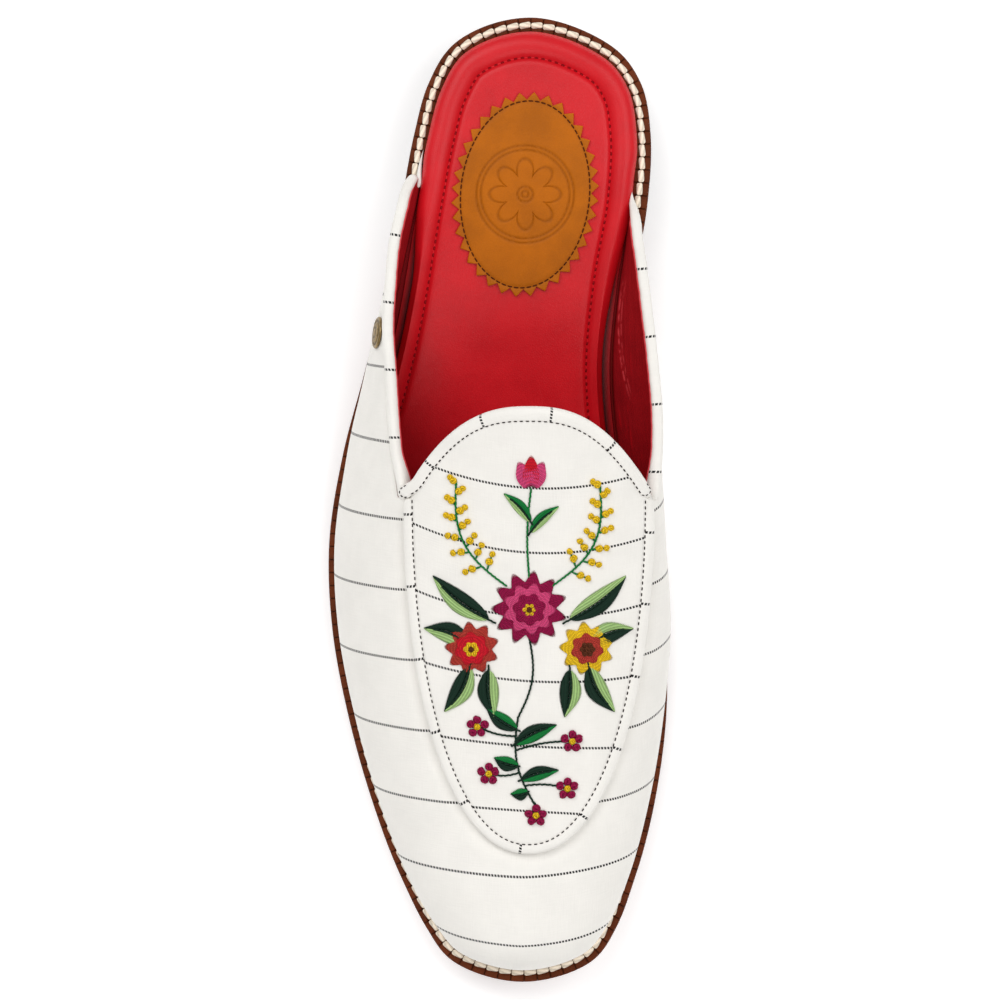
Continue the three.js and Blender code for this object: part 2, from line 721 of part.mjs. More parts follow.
const mule = new THREE.Group();
mule.add(
  piece("outsole", outsoleGeometry(), COLOURS.soleLeather, 0.6),
  piece("heel_block", heelGeometry(), COLOURS.heelLeather, 0.55),
  piece("welt", weltGeometry(), COLOURS.soleLeather, 0.55),
  piece("insole", insoleGeometry(), COLOURS.insoleLeather, 0.4),
  piece("insole_patch", patchGeometry(), COLOURS.patchLeather, 0.5),
  piece("upper", upperGeometry(), COLOURS.cloth, 0.85),
  piece("apron", apronGeometry(), COLOURS.cloth, 0.85),
  piece("apron_binding", apronBandGeometry(), COLOURS.cloth, 0.85),
  piece("collar_binding_lateral", collarBindingGeometry("lateral"), COLOURS.cloth, 0.85),
  piece("collar_binding_medial", collarBindingGeometry("medial"), COLOURS.cloth, 0.85),
  rivetMesh(),
);

export default mule;
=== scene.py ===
"""Looks of a backless loafer, a mule, for the right foot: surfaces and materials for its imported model.

Sizes are millimetres in the shoe's own frame: +Z up, heel at +Y, toe at -Y, outer (lateral) side at -X.
A mesh turns them into metres when it is made. A chart is a piece's own UV map, also in millimetres.
"""
import json

import bmesh
import bpy
import numpy as np
from bpy.props import FloatProperty, FloatVectorProperty, PointerProperty
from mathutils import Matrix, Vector

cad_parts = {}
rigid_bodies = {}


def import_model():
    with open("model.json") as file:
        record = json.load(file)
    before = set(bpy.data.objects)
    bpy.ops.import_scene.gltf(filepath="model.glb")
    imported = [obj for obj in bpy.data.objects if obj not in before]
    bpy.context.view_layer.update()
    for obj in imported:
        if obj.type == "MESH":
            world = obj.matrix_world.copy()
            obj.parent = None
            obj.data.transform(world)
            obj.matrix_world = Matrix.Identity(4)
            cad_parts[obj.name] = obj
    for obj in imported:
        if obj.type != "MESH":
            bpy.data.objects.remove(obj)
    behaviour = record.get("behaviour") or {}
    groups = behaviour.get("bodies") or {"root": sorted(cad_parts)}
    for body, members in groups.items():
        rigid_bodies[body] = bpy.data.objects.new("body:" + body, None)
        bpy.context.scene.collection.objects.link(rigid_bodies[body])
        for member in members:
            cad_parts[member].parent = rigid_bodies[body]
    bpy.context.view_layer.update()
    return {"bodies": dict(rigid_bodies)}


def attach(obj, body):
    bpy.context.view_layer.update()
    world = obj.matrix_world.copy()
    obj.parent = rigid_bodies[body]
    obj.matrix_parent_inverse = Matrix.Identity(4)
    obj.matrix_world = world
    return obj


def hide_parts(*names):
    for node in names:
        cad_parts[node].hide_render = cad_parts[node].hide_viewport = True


bl_info = {
    "name": "Mule dresser",
    "version": (1, 0, 0),
    "blender": (4, 5, 0),
    "location": "View3D > Sidebar > Mule",
    "description": "Dresses the packed model of a backless loafer in cloth, leather, brass and thread",
    "category": "Add Mesh",
}

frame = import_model()
BODY = next(iter(frame["bodies"]))
MM = 0.001
QUARTER_TURN = np.pi / 2
SIDES = ("lateral", "medial")
SIGN = {"lateral": -1, "medial": 1}
UP = np.array([0.0, 0.0, 1.0])


class Table:
    """Rows of named columns. Where they run from heel to toe, each is also a smooth curve over the first."""

    def __init__(self, names, *rows):
        values = np.array(rows, float)[::-1]
        self.column = dict(zip(names.split(), values.T))
        self.along = values[:, 0]

    def at(self, name, along):
        """Curve of cubics: a row's slope joins its two neighbours, and past either end the value stays."""
        knots, value = self.along, self.column[name]
        slope = np.empty_like(value)
        slope[1:-1] = (value[2:] - value[:-2]) / (knots[2:] - knots[:-2])
        slope[[0, -1]] = (value[[1, -1]] - value[[0, -2]]) / (knots[[1, -1]] - knots[[0, -2]])
        along = np.clip(along, knots[0], knots[-1])
        i = np.clip(np.searchsorted(knots, along, side="right") - 1, 0, len(knots) - 2)
        span = knots[i + 1] - knots[i]
        t = (along - knots[i]) / span
        return cubic(value[i], value[i + 1], span * slope[i], span * slope[i + 1], t)


# Sole
SOLE_LENGTH = 264
HEEL_POINT = (8.5, SOLE_LENGTH / 2)
TOE_POINT = (6.3, -SOLE_LENGTH / 2)
HEEL_LIFT = 17
TOE_SPRING = 9
TREAD_FRONT = -60
TREAD_BACK = -18
HEEL_SEAT = 92
HEEL_BREAST = 70
HEEL_BREAST_LEAN = 3
HEEL_TOP_INSET = 1.2
HEEL_BOTTOM_INSET = 2.2
OUTSOLE_THICKNESS = 4.2
WELT_THICKNESS = 3
GAP = 0.3
TOE_FLARE = 1.5
TOE_FLARE_SPAN = (104, 133)
HEEL_SWELL = 0.6
HEEL_SWELL_SPAN = (90, 110)
HEEL_SWELL_FACING = -0.45
HEEL_SWELL_SPREAD = 0.24
SOLE_EDGE = Table(
    "along lateral medial",
    (124, -13, 31), (114, -19.6, 38.8), (100, -23.6, 41.5), (80, -27.4, 40.6), (58, -31.9, 36.8),
    (35, -37.3, 34.8), (12, -43.4, 36.8), (-12, -47.2, 41.4), (-36, -46.4, 45.6), (-60, -42, 46),
    (-84, -35.2, 42.8), (-104, -27.6, 37.6), (-118, -19.8, 31.6), (-127, -11.8, 24.2),
)

# Last that the upper is shaped on
WALL = 1.6
FEATHER_INSET = 2.6
BELLY_SHARE = 0.22
BINDING_WIDTH = 3
BINDING_HEIGHT = 2.6
QUARTER_END = {"lateral": 88, "medial": 82}
QUARTER_SHAPE = {
    "lateral": {
        "tuck": 0.55, "tuck_from": 62, "gather": 1.1, "round": 1.6, "point": 0.5, "tip": 88.9, "bead": 2,
    },
    "medial": {
        "tuck": 2.5, "tuck_from": 63, "gather": 0.6, "round": 9, "point": 1.05, "tip": 83.9, "bead": 6.5,
    },
}
TOE_FAN_START = -98
CREST_END = -118
TOE_FAN_POWER = 2.15
CREST = Table(
    "along across height",
    (92, 8.4, 92), (72, 8.4, 87), (56, 8.4, 82), (40, 8.4, 76.5), (24, 8.3, 70.5), (6, 8.2, 63.5),
    (-14, 8, 56.5), (-36, 7.8, 50), (-58, 7.6, 44.6), (-82, 7.3, 39.6), (-104, 6.9, 35.6), (-132, 6.5, 31),
)
WALLS = {
    "lateral": Table(
        "along out belly round",
        (92, 0.2, 6, 2), (72, 0.8, 9, 1.9), (56, -0.1, 8, 1.97), (40, -0.15, 8, 1.77), (24, -0.75, 8, 1.81),
        (6, -1.5, 8, 1.95), (-14, -1.7, 8, 2.1), (-36, -1.8, 7.5, 2.2), (-58, -1.9, 7, 2.25),
        (-82, -1.9, 6.5, 2.3), (-104, -1.9, 6, 2.25), (-132, -1.9, 6, 2.2),
    ),
    "medial": Table(
        "along out belly round",
        (92, 0, 5, 2), (72, 0.2, 12, 2.2), (56, 4.2, 19, 2.3), (40, 7.6, 25, 2.4), (24, 8.6, 30, 2.5),
        (6, 6.8, 31, 2.6), (-14, 4, 25, 2.6), (-36, 1.4, 16, 2.5), (-58, -0.8, 9.5, 2.4),
        (-82, -1.7, 7, 2.3), (-104, -1.9, 6.2, 2.25), (-132, -1.9, 6, 2.2),
    ),
}
COLLAR = Table(
    "along lateral medial",
    (88, 4.4, 4), (82, 9.4, 4.4), (76, 12.4, 9.2), (66, 16.8, 15), (55, 22, 20.2), (43, 27.6, 26),
    (32, 33, 31.4), (21, 37.4, 36), (10, 40.6, 39.6), (0, 42.4, 41.8),
)

# Apron
APRON_ACROSS = 7.8
APRON_HALF_WIDTH = 34
APRON_THROAT = 24.2
APRON_THROAT_POWER = 2.6
APRON_TOE = 97.8
APRON_TOE_POWER = 2.15
APRON_TOP = 1.1

# Trim
RIVET_ALONG = 45.2
RIVET_BELOW_BINDING = 5
PATCH_CENTRE = (6.9, 83.3)
PATCH_HALF_WIDTH = 20.2
PATCH_HALF_LENGTH = 28.2
PATCH_TILT = -0.09
PATCH_TEETH = 36
PATCH_TOOTH = 2.1
PATCH_SPREAD = 0.08
PATCH_SEAM = 2.5
PATCH_THICKNESS = 1.2
INSOLE_FLAT = 3.7

# Stripes of the cloth: a chart counts STRIPE_PITCH from one stripe to the next, and zero lies on a stripe.
STRIPE_PITCH = 18.5
UPPER_STRIPE = {"first": -8.4, "pitch": 19.17, "bend": 1.4}
UPPER_LIFT = Table(
    "along lateral lateral_fall medial medial_fall",
    (60, 7, 2.5, 9.8, 12), (36, 7.1, 3.3, 9.8, 12), (17, 7.7, 6, 9.8, 12), (0, 7.2, 7.2, 9.2, 12.5),
    (-20, 7.1, 7.1, 9, 12.3), (-40, 7.1, 7.1, 10.5, 13.5), (-60, 7, 7, 10.5, 13.3),
    (-80, 6.5, 6.5, 8.9, 10.2), (-104, 6.7, 6.7, 8.5, 8.5), (-125, 6.2, 7.25, 6.6, 7.65),
    (-132, 6.2, 7.25, 6.6, 7.65),
)
STRIPE_EASE = {"start": 0.8, "reach": 0.48}
STRIPE_STRETCH = {
    "drop": 0.6, "wall": 0.5, "wall_start": 0.45, "toe_loss": 0.9, "toe": (72, 104), "crest": 14,
}
APRON_STRIPE = {"first": 3.2, "pitch": 17.85, "slant": 1.9 / 30}
APRON_STRIPE_SAG = Table(
    "along sag lower",
    (25, 5.9, 0.6), (0, 5.9, 0.6), (-25, 5.5, 0.3), (-45, 4, 0), (-65, 2, 0), (-85, 0.5, 0), (-98, 0.2, 0),
)
THROAT_TICK = {"first": 12.45, "pitch": 19.37, "growth": 0}
RIDGE_TICK = {"first": -2.4, "pitch": 22.2, "growth": 0.00067}
COLLAR_TICK = {"lateral": {"first": 16.4, "pitch": 18.6}, "medial": {"first": 7, "pitch": 18.6}}

# Creases pressed into the upper: each is a line in plan, with a depth and a width.
CREASES = Table(
    "along across end_along end_across depth width",
    (-1, -28, -12, -30.5, 0.3, 1.2),
    (0.5, -29.5, -5, -34.5, 0.28, 1.1),
    (1.5, 41.6, -2.2, 44.2, 0.4, 0.7),
    (0.4, 41.2, -4.6, 43.6, 0.42, 0.7),
    (-0.8, 41, -7.5, 42.6, 0.35, 0.8),
)


def lerp(first, last, share):
    """Straight mix of two values."""
    return first + (last - first) * share


def smoothstep(value, low, high):
    """Cubic ease from 0 at low to 1 at high."""
    t = np.clip((value - low) / (high - low), 0, 1)
    return t * t * (3 - 2 * t)


def cubic(first, last, leave, arrive, t):
    """Cubic from first to last as t goes from 0 to 1, with a slope given at each end."""
    rest = 1 - t
    ends = first * rest**2 * (1 + 2 * t) + last * t**2 * (3 - 2 * t)
    return ends + (leave * t * rest**2 - arrive * t**2 * rest)


def bell(distance, width):
    """Bell curve: 1 at distance 0, falling to 1/e at the width."""
    return np.exp(-((distance / width) ** 2))


def unit(vectors):
    """Vectors at length one."""
    return vectors / np.linalg.norm(vectors, axis=-1, keepdims=True)


def raised(plan, height):
    """Plan points given a height each."""
    return np.concatenate([plan, np.broadcast_to(height, plan.shape[:-1])[..., None]], -1)


def reaches(line):
    """Length walked along a line at each of its points."""
    steps = np.linalg.norm(np.diff(line, axis=0), axis=1)
    return np.concatenate([[0], np.cumsum(steps)])


def walked(line, reach, wanted):
    """Rows of a line read off at wanted lengths along it."""
    return np.stack([np.interp(wanted, reach, column) for column in line.T], -1)


def evenly(line, steps):
    """A line's points spaced evenly along its length."""
    reach = reaches(line)
    return walked(line, reach, np.linspace(0, reach[-1], steps + 1))


def with_outward(line, run):
    """Plan points with the directions out of a counterclockwise line: its run turned a quarter right."""
    return np.concatenate([line, run[:, 1:], -run[:, :1]], 1)


def directed(line):
    """An open line's points with their outward directions, from the steps to both neighbours."""
    return with_outward(line, unit(np.gradient(line, axis=0)))


def inset(rows, distance):
    """Directed points moved in from their line."""
    return rows[..., :2] - rows[..., 2:] * np.asarray(distance)[..., None]


def closed_curve(points, per_span):
    """Smooth loop through points: a cubic over each span, with knots spaced by the roots of the chords."""
    before, here, after, beyond = (np.roll(points, shift, axis=0) for shift in (1, 0, -1, -2))
    first, middle, last = (
        np.sqrt(np.linalg.norm(b - a, axis=1))[:, None]
        for a, b in ((before, here), (here, after), (after, beyond))
    )
    leave = ((here - before) / first - (after - before) / (first + middle) + (after - here) / middle) * middle
    arrive = ((after - here) / middle - (beyond - here) / (middle + last) + (beyond - after) / last) * middle
    t = np.linspace(0, 1, per_span, endpoint=False)[:, None]
    spans = (rows[:, None] for rows in (here, after, leave, arrive))
    return cubic(*spans, t).reshape(-1, points.shape[1])


class SoleLine:
    """The sole's edge from the heel down the outer side to the toe and back, with its outward directions."""

    SPAN = 200

    def __init__(self):
        lateral = np.stack([SOLE_EDGE.column["lateral"], SOLE_EDGE.along], 1)[::-1]
        medial = np.stack([SOLE_EDGE.column["medial"], SOLE_EDGE.along], 1)
        fine = closed_curve(np.vstack([HEEL_POINT, lateral, TOE_POINT, medial]), self.SPAN)
        run = unit(np.roll(fine, -1, axis=0) - np.roll(fine, 1, axis=0))
        rows = with_outward(fine, run)
        self.rows = np.vstack([rows, rows[:1]])
        self.reach = reaches(self.rows[:, :2])
        self.length = self.reach[-1]
        self.toe = (len(lateral) + 1) * self.SPAN

    def side(self, name):
        """Rows of one side from the heel to the toe."""
        return self.rows[: self.toe + 1] if name == "lateral" else self.rows[self.toe :][::-1]

    def at(self, reach, flare=TOE_FLARE):
        """Rows at lengths round the edge, which flares at the toe and swells at the heel's outer corner."""
        rows = walked(self.rows, self.reach, np.mod(reach, self.length))
        corner = bell(rows[..., 2:3] - HEEL_SWELL_FACING, HEEL_SWELL_SPREAD)
        swell = HEEL_SWELL * corner * smoothstep(rows[..., 1:2], *HEEL_SWELL_SPAN)
        rows[..., :2] += rows[..., 2:] * (flare * smoothstep(-rows[..., 1:2], *TOE_FLARE_SPAN) + swell)
        return rows

    def ring(self, steps, flare=TOE_FLARE):
        """Rows all round, in even steps on each side, with the heel first."""
        toe = self.reach[self.toe]
        down = np.linspace(0, toe, steps, endpoint=False)
        return self.at(np.concatenate([down, np.linspace(toe, self.length, steps, endpoint=False)]), flare)


SOLE = SoleLine()
FOOT = {side: inset(SOLE.side(side), FEATHER_INSET) for side in SIDES}
BELLY = {side: inset(SOLE.side(side), -WALLS[side].at("out", SOLE.side(side)[:, 1])) for side in SIDES}


def tread(along):
    """Underside of the outsole: an eased climb to the heel seat and a parabola of toe spring."""
    spring = np.maximum(0, (TREAD_FRONT - along) / (TREAD_FRONT - TOE_POINT[1]))
    return HEEL_LIFT * smoothstep(along, TREAD_BACK, HEEL_SEAT) + TOE_SPRING * spring**2


def welt_base(along):
    """Underside of the welt."""
    return tread(along) + OUTSOLE_THICKNESS + GAP


def upper_seat(along):
    """Height that the insole and the foot of the wall stand at."""
    return welt_base(along) + WELT_THICKNESS + GAP


def across_at(line, along):
    """Where a line from heel to toe crosses a distance along the shoe."""
    return np.interp(-np.asarray(along), -line[:, 1], line[:, 0])


def stretch(line, start, end, steps):
    """Even steps along a line from heel to toe, between two distances along the shoe."""
    reach = reaches(line)
    ends = np.interp([-start, -end], -line[:, 1], reach)
    return walked(line, reach, np.linspace(*ends, steps + 1))


class Rib:
    """Ribs of the last on any grid: a leaning wall to the belly, then a superellipse to the crest."""

    def __init__(self, side, foot, belly, crest_along):
        seat = upper_seat(foot[..., 1])
        self.foot = raised(foot, seat)
        self.belly = raised(belly, seat + WALLS[side].at("belly", foot[..., 1]))
        height = CREST.at("height", crest_along)
        self.crest = np.stack([CREST.at("across", crest_along), crest_along, height], -1)
        self.round = WALLS[side].at("round", foot[..., 1])

    def on(self, t):
        """Points at parameter t: sine lean below the belly, powers of cosine and sine above it."""
        share = np.clip(t / BELLY_SHARE, 0, 1)[..., None]
        wall = lerp(self.foot, self.belly, np.sin(share * QUARTER_TURN))
        wall_height = lerp(self.foot[..., 2:], self.belly[..., 2:], share)
        angle = np.clip((t - BELLY_SHARE) / (1 - BELLY_SHARE), 0, 1) * QUARTER_TURN
        outward = (np.maximum(np.cos(angle), 0) ** (2 / self.round))[..., None]
        upward = (np.sin(angle) ** (2 / self.round))[..., None]
        shoulder = lerp(self.crest, self.belly, outward)
        shoulder_height = lerp(self.belly[..., 2:], self.crest[..., 2:], upward)
        low = np.concatenate(np.broadcast_arrays(wall[..., :1], wall[..., 1:2], wall_height), -1)
        high = np.concatenate(np.broadcast_arrays(shoulder[..., :1], shoulder[..., 1:2], shoulder_height), -1)
        return np.where(np.asarray(t)[..., None] < BELLY_SHARE, low, high)

    def share_at_rise(self, rise):
        """Parameter at a height above the wall's foot."""
        belly_rise = self.belly[..., 2] - self.foot[..., 2]
        upward = np.clip((rise - belly_rise) / (self.crest[..., 2] - self.belly[..., 2]), 0, 1)
        above = lerp(BELLY_SHARE, 1, np.arcsin(upward ** (self.round / 2)) / QUARTER_TURN)
        return np.where(rise <= belly_rise, BELLY_SHARE * rise / belly_rise, above)

    def share_across(self, across):
        """Parameter at a distance across the shoe."""
        outward = np.clip((across - self.crest[..., 0]) / (self.belly[..., 0] - self.crest[..., 0]), 0, 1)
        return lerp(BELLY_SHARE, 1, np.arccos(outward ** (self.round / 2)) / QUARTER_TURN)


def rib_at(side, along):
    """Ribs that cross the shoe squarely."""
    along = np.asarray(along, float)
    foot = np.stack([across_at(FOOT[side], along), along], -1)
    belly = np.stack([across_at(BELLY[side], along), along], -1)
    return Rib(side, foot, belly, along)


def upper_height(across, along):
    """Height of the upper's outer face over a place."""
    heights = []
    for side in SIDES:
        rib = rib_at(side, along)
        heights.append(rib.on(rib.share_across(across))[..., 2])
    return np.where(across < CREST.at("across", along), *heights)


def above_upper(across, along, rise):
    """Points at a rise along the upper's own normal, from the slopes measured a nudge to each side."""
    across, along, rise = np.broadcast_arrays(across, along, rise)
    nudge = 0.05
    slope_x = (upper_height(across + nudge, along) - upper_height(across - nudge, along)) / (2 * nudge)
    slope_y = (upper_height(across, along + nudge) - upper_height(across, along - nudge)) / (2 * nudge)
    out = unit(np.stack([-slope_x, -slope_y, np.ones_like(slope_x)], -1))
    base = np.stack([across, along, upper_height(across, along)], -1)
    return base + out * rise[..., None]


def wall_top(side, along):
    """Parameter of the quarter's free edge, under its binding."""
    return rib_at(side, along).share_at_rise(COLLAR.at(side, along) - BINDING_HEIGHT)


def wall_frame(side, along, share):
    """Place on the outer face with its directions out of the wall and up it, from small steps along both."""
    nudge = 0.01
    here = rib_at(side, along)
    outer = here.on(share)
    up = unit(here.on(share + nudge) - here.on(share - nudge))
    run = unit(rib_at(side, along + 1).on(share) - rib_at(side, along - 1).on(share))
    out = unit(np.cross(up, run)) * -SIGN[side]
    return outer, out, up


def throat_along(across):
    """The throat's arch: a power curve that falls from the middle to both corners."""
    share = np.abs(across - APRON_ACROSS) / APRON_HALF_WIDTH
    return APRON_THROAT * (1 - share**APRON_THROAT_POWER)


def throat_line(steps):
    """The arch from the inner corner to the outer one, evenly spaced and directed."""
    turn = np.linspace(QUARTER_TURN, -QUARTER_TURN, 600)
    across = APRON_ACROSS + APRON_HALF_WIDTH * np.sin(turn)
    return directed(evenly(np.stack([across, throat_along(across)], 1), steps))


def toe_line(steps):
    """Half a superellipse from the outer corner round the toe to the inner one, even and directed."""
    turn = np.linspace(0, np.pi, 1200)
    power = 2 / APRON_TOE_POWER
    across = -np.sign(np.cos(turn)) * np.abs(np.cos(turn)) ** power
    along = -np.abs(np.sin(turn)) ** power
    line = np.stack([APRON_ACROSS + APRON_HALF_WIDTH * across, APRON_TOE * along], 1)
    return directed(evenly(line, steps))


class Skin:
    """Grids of points joined into one mesh, with a chart."""

    def __init__(self):
        self.points = []
        self.quads = []
        self.charts = []
        self.count = 0

    @staticmethod
    def corners(grid, flip):
        """Each cell's four corners, walked along the first axis and then the second."""
        around = [grid[..., :-1, :-1], grid[..., 1:, :-1], grid[..., 1:, 1:], grid[..., :-1, 1:]]
        return np.stack(around[::-1] if flip else around, -1).reshape(-1, 4)

    def add(self, points, chart=None, flip=False, wrap=False):
        """Joins neighbours on the last two axes of a stack of grids. wrap closes the last axis on itself."""
        ids = np.arange(points[..., 0].size).reshape(points.shape[:-1]) + self.count
        if wrap:
            ids = np.concatenate([ids, ids[..., :1]], -1)
        chart = np.zeros(ids.shape + (2,)) if chart is None else chart
        self.points.append(points.reshape(-1, 3))
        self.quads.append(self.corners(ids, flip))
        self.charts.append(np.stack([self.corners(chart[..., k], flip) for k in (0, 1)], -1))
        self.count += len(self.points[-1])
        return self

    def mesh(self, name, weld):
        """The grids as one mesh in metres, with corners closer than the weld merged."""
        mesh = bpy.data.meshes.new(name)
        points = np.vstack(self.points) * MM
        quads = np.vstack(self.quads)
        mesh.vertices.add(len(points))
        mesh.vertices.foreach_set("co", points.ravel())
        mesh.loops.add(quads.size)
        mesh.loops.foreach_set("vertex_index", quads.ravel())
        mesh.polygons.add(len(quads))
        mesh.polygons.foreach_set("loop_start", np.arange(len(quads)) * 4)
        mesh.update(calc_edges=True)
        mesh.uv_layers.new(name="chart").uv.foreach_set("vector", np.vstack(self.charts).ravel())
        joined = bmesh.new()
        joined.from_mesh(mesh)
        bmesh.ops.remove_doubles(joined, verts=joined.verts, dist=weld * MM)
        joined.to_mesh(mesh)
        joined.free()
        mesh.shade_smooth()
        return mesh

    def piece(self, name, material, slot, replaces=(), weld=0.002, crisp=None):
        """The mesh as a finished piece. crisp is the angle past which an edge stays sharp."""
        obj = bpy.data.objects.new(name, self.mesh(name, weld))
        if crisp is not None:
            obj.data.set_sharp_from_angle(angle=np.radians(crisp))
        obj.data.materials.append(material)
        bpy.context.scene.collection.objects.link(obj)
        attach(obj, BODY)
        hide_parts(*replaces)
        return obj


def moved_along_normals(mesh, distance):
    """Moves every corner of a mesh along its own normal."""
    count = len(mesh.vertices)
    places = np.empty(count * 3)
    normals = np.empty(count * 3)
    mesh.vertices.foreach_get("co", places)
    mesh.vertex_normals.foreach_get("vector", normals)
    mesh.vertices.foreach_set("co", places + normals * distance * MM)
    mesh.update()


def give_wall(obj, thickness):
    """Thickens a sheet inwards."""
    wall = obj.modifiers.new("wall", "SOLIDIFY")
    wall.thickness = thickness * MM
    wall.offset = -1


def tube_grid(paths, radius, sides, flat=1.0, up=UP):
    """Bars along paths: rings about each path's run, squeezed in their upward direction by flat."""
    run = unit(np.gradient(paths, axis=-2))
    sideways = unit(np.cross(run, up))
    upward = np.cross(sideways, run)
    angle = (np.arange(sides) * 2 * np.pi / sides)[:, None]
    ring = sideways[..., None, :] * np.cos(angle) + upward[..., None, :] * np.sin(angle) * flat
    return paths[..., None, :] + ring * np.broadcast_to(radius, paths.shape[:-1])[..., None, None]


def tube_chart(paths, sides):
    """Chart of bars: millimetres along them, and the share of a turn round them."""
    steps = np.linalg.norm(np.diff(paths, axis=-2), axis=-1)
    along = np.concatenate([np.zeros(steps.shape[:-1] + (1,)), np.cumsum(steps, -1)], -1)
    turn = np.linspace(0, 1, sides + 1)
    return np.stack(np.broadcast_arrays(along[..., None], turn), -1)


def bunched(steps):
    """Places from -1 to 1, closer together towards both ends, as a cosine spaces them."""
    return -np.cos(np.linspace(0, np.pi, steps))


def closing(place, power):
    """Thickness of a stitch at places from -1 to 1: a superellipse that closes at both ends."""
    return np.sqrt(np.maximum(0, 1 - np.abs(place) ** power))


def add_stitches(skin, line, up, pitch, dash, radius, closed=False, steps=6, sides=5, flat=0.8):
    """Dashes along a line of points: each dash is a bar that closes at both ends."""
    reach = reaches(line)
    count = max(1, round(reach[-1] / pitch)) if closed else int((reach[-1] - dash) // pitch) + 1
    pitch = reach[-1] / count if closed else pitch
    place = bunched(steps)
    wanted = (np.arange(count) * pitch)[:, None] + (place + 1) / 2 * dash
    paths = walked(line, reach, np.minimum(wanted, reach[-1]))
    skin.add(
        tube_grid(paths, radius * closing(place, power=5), sides, flat, up),
        tube_chart(paths, sides),
        wrap=True,
    )


# Shader maths
class Signal:
    """A socket in a sum: each operator adds one Math node to the material."""

    def __init__(self, shader, socket):
        self.shader = shader
        self.socket = socket

    def __add__(self, other):
        return self.shader.math("ADD", self, other)

    def __radd__(self, other):
        return self.shader.math("ADD", other, self)

    def __sub__(self, other):
        return self.shader.math("SUBTRACT", self, other)

    def __rsub__(self, other):
        return self.shader.math("SUBTRACT", other, self)

    def __mul__(self, other):
        return self.shader.math("MULTIPLY", self, other)

    def __rmul__(self, other):
        return self.shader.math("MULTIPLY", other, self)

    def __truediv__(self, other):
        return self.shader.math("DIVIDE", self, other)

    def __mod__(self, other):
        return self.shader.math("FLOORED_MODULO", self, other)

    def __abs__(self):
        return self.shader.math("ABSOLUTE", self)


class Shader:
    """A material's nodes."""

    def __init__(self, name):
        self.material = bpy.data.materials.new(name)
        self.material.use_nodes = True
        self.tree = self.material.node_tree
        self.surface = self.tree.nodes["Principled BSDF"]

    def feed(self, socket, value):
        """Links a signal to a socket, or sets a plain value on it."""
        if isinstance(value, Signal):
            self.tree.links.new(value.socket, socket)
        else:
            socket.default_value = value

    def node(self, kind, settings=None, inputs=None, output=0):
        """Any node: its settings first, then the values or links of its sockets."""
        made = self.tree.nodes.new(kind)
        for name, value in (settings or {}).items():
            setattr(made, name, value)
        for name, value in (inputs or {}).items():
            self.feed(made.inputs[name], value)
        return Signal(self, made.outputs[output])

    def math(self, operation, *values):
        """A Math node."""
        return self.node("ShaderNodeMath", {"operation": operation}, dict(enumerate(values)))

    def ease(self, value, low, high):
        """Smooth step from 0 at low to 1 at high."""
        inputs = {"Value": value, "From Min": low, "From Max": high}
        return self.node("ShaderNodeMapRange", {"interpolation_type": "SMOOTHSTEP"}, inputs)

    def mix(self, share, first, second):
        """Mix of two colours."""
        return self.node("ShaderNodeMix", {"data_type": "RGBA"}, {0: share, 6: first, 7: second}, 2)

    def place(self, scale=(1, 1, 1)):
        """Object coordinates in millimetres, stretched by a scale."""
        place = self.node("ShaderNodeTexCoord", output=3)
        stretched = tuple(share / MM for share in scale)
        return self.node("ShaderNodeVectorMath", {"operation": "MULTIPLY"}, {0: place, 1: stretched})

    def split(self, vector):
        """The first two parts of a vector."""
        return [self.node("ShaderNodeSeparateXYZ", inputs={0: vector}, output=k) for k in (0, 1)]

    def chart(self):
        """The two values of the piece's chart."""
        return self.split(self.node("ShaderNodeUVMap", {"uv_map": "chart"}))

    def spread(self, first, second):
        """Two values as a vector."""
        return self.node("ShaderNodeCombineXYZ", inputs={0: first, 1: second})

    def noise(self, vector, size, detail=2.0, rough=0.5):
        """Noise with features of a size, as a value about one half."""
        inputs = {"Vector": vector, "Scale": 1 / size, "Detail": detail, "Roughness": rough}
        return self.node("ShaderNodeTexNoise", inputs=inputs)

    def cells(self, vector, size):
        """Distance to the edges of pebble cells of a size."""
        inputs = {"Vector": vector, "Scale": 1 / size}
        return self.node("ShaderNodeTexVoronoi", {"feature": "DISTANCE_TO_EDGE"}, inputs)

    def wave(self, value):
        """Sine of a value in turns."""
        return self.math("SINE", value * (2 * np.pi))

    def close(self, colour, roughness, height=None, depth=0.1, strength=1.0, **constants):
        """Feeds the surface. Height is bump of a depth in millimetres, and constants name other sockets."""
        self.feed(self.surface.inputs["Base Color"], colour)
        self.feed(self.surface.inputs["Roughness"], roughness)
        if height is not None:
            inputs = {"Height": height, "Distance": depth * MM, "Strength": strength}
            self.feed(self.surface.inputs["Normal"], self.node("ShaderNodeBump", inputs=inputs))
        for name, value in constants.items():
            self.feed(self.surface.inputs[name.replace("_", " ").title().replace("Ior", "IOR")], value)
        return self.material


def linear(red, green, blue):
    """A display colour of 0 to 255 as linear light."""
    share = np.array([red, green, blue]) / 255
    return tuple(np.where(share <= 0.04045, share / 12.92, ((share + 0.055) / 1.055) ** 2.4).tolist())


def shade(colour, factor):
    """A colour made lighter or darker, as a socket takes it."""
    return tuple(min(1, part * factor) for part in colour[:3]) + (1.0,)


# Finishes, with the sizes of the cloth's dots and yarns and of the painted highlight along the lining's
# crease
DOT = {"pitch": 0.86, "slant": 0.25, "gap": (0.31, 0.37), "half_height": (0.28, 0.38)}
YARN = {"fine": 2.6, "drawn": 0.22}
LINING_CREASE_HIGHLIGHT = {
    "across": 32.6, "bow": 0.008, "bow_along": 47, "apart": 0.75, "along": 43.5, "half_length": (11, 18),
}


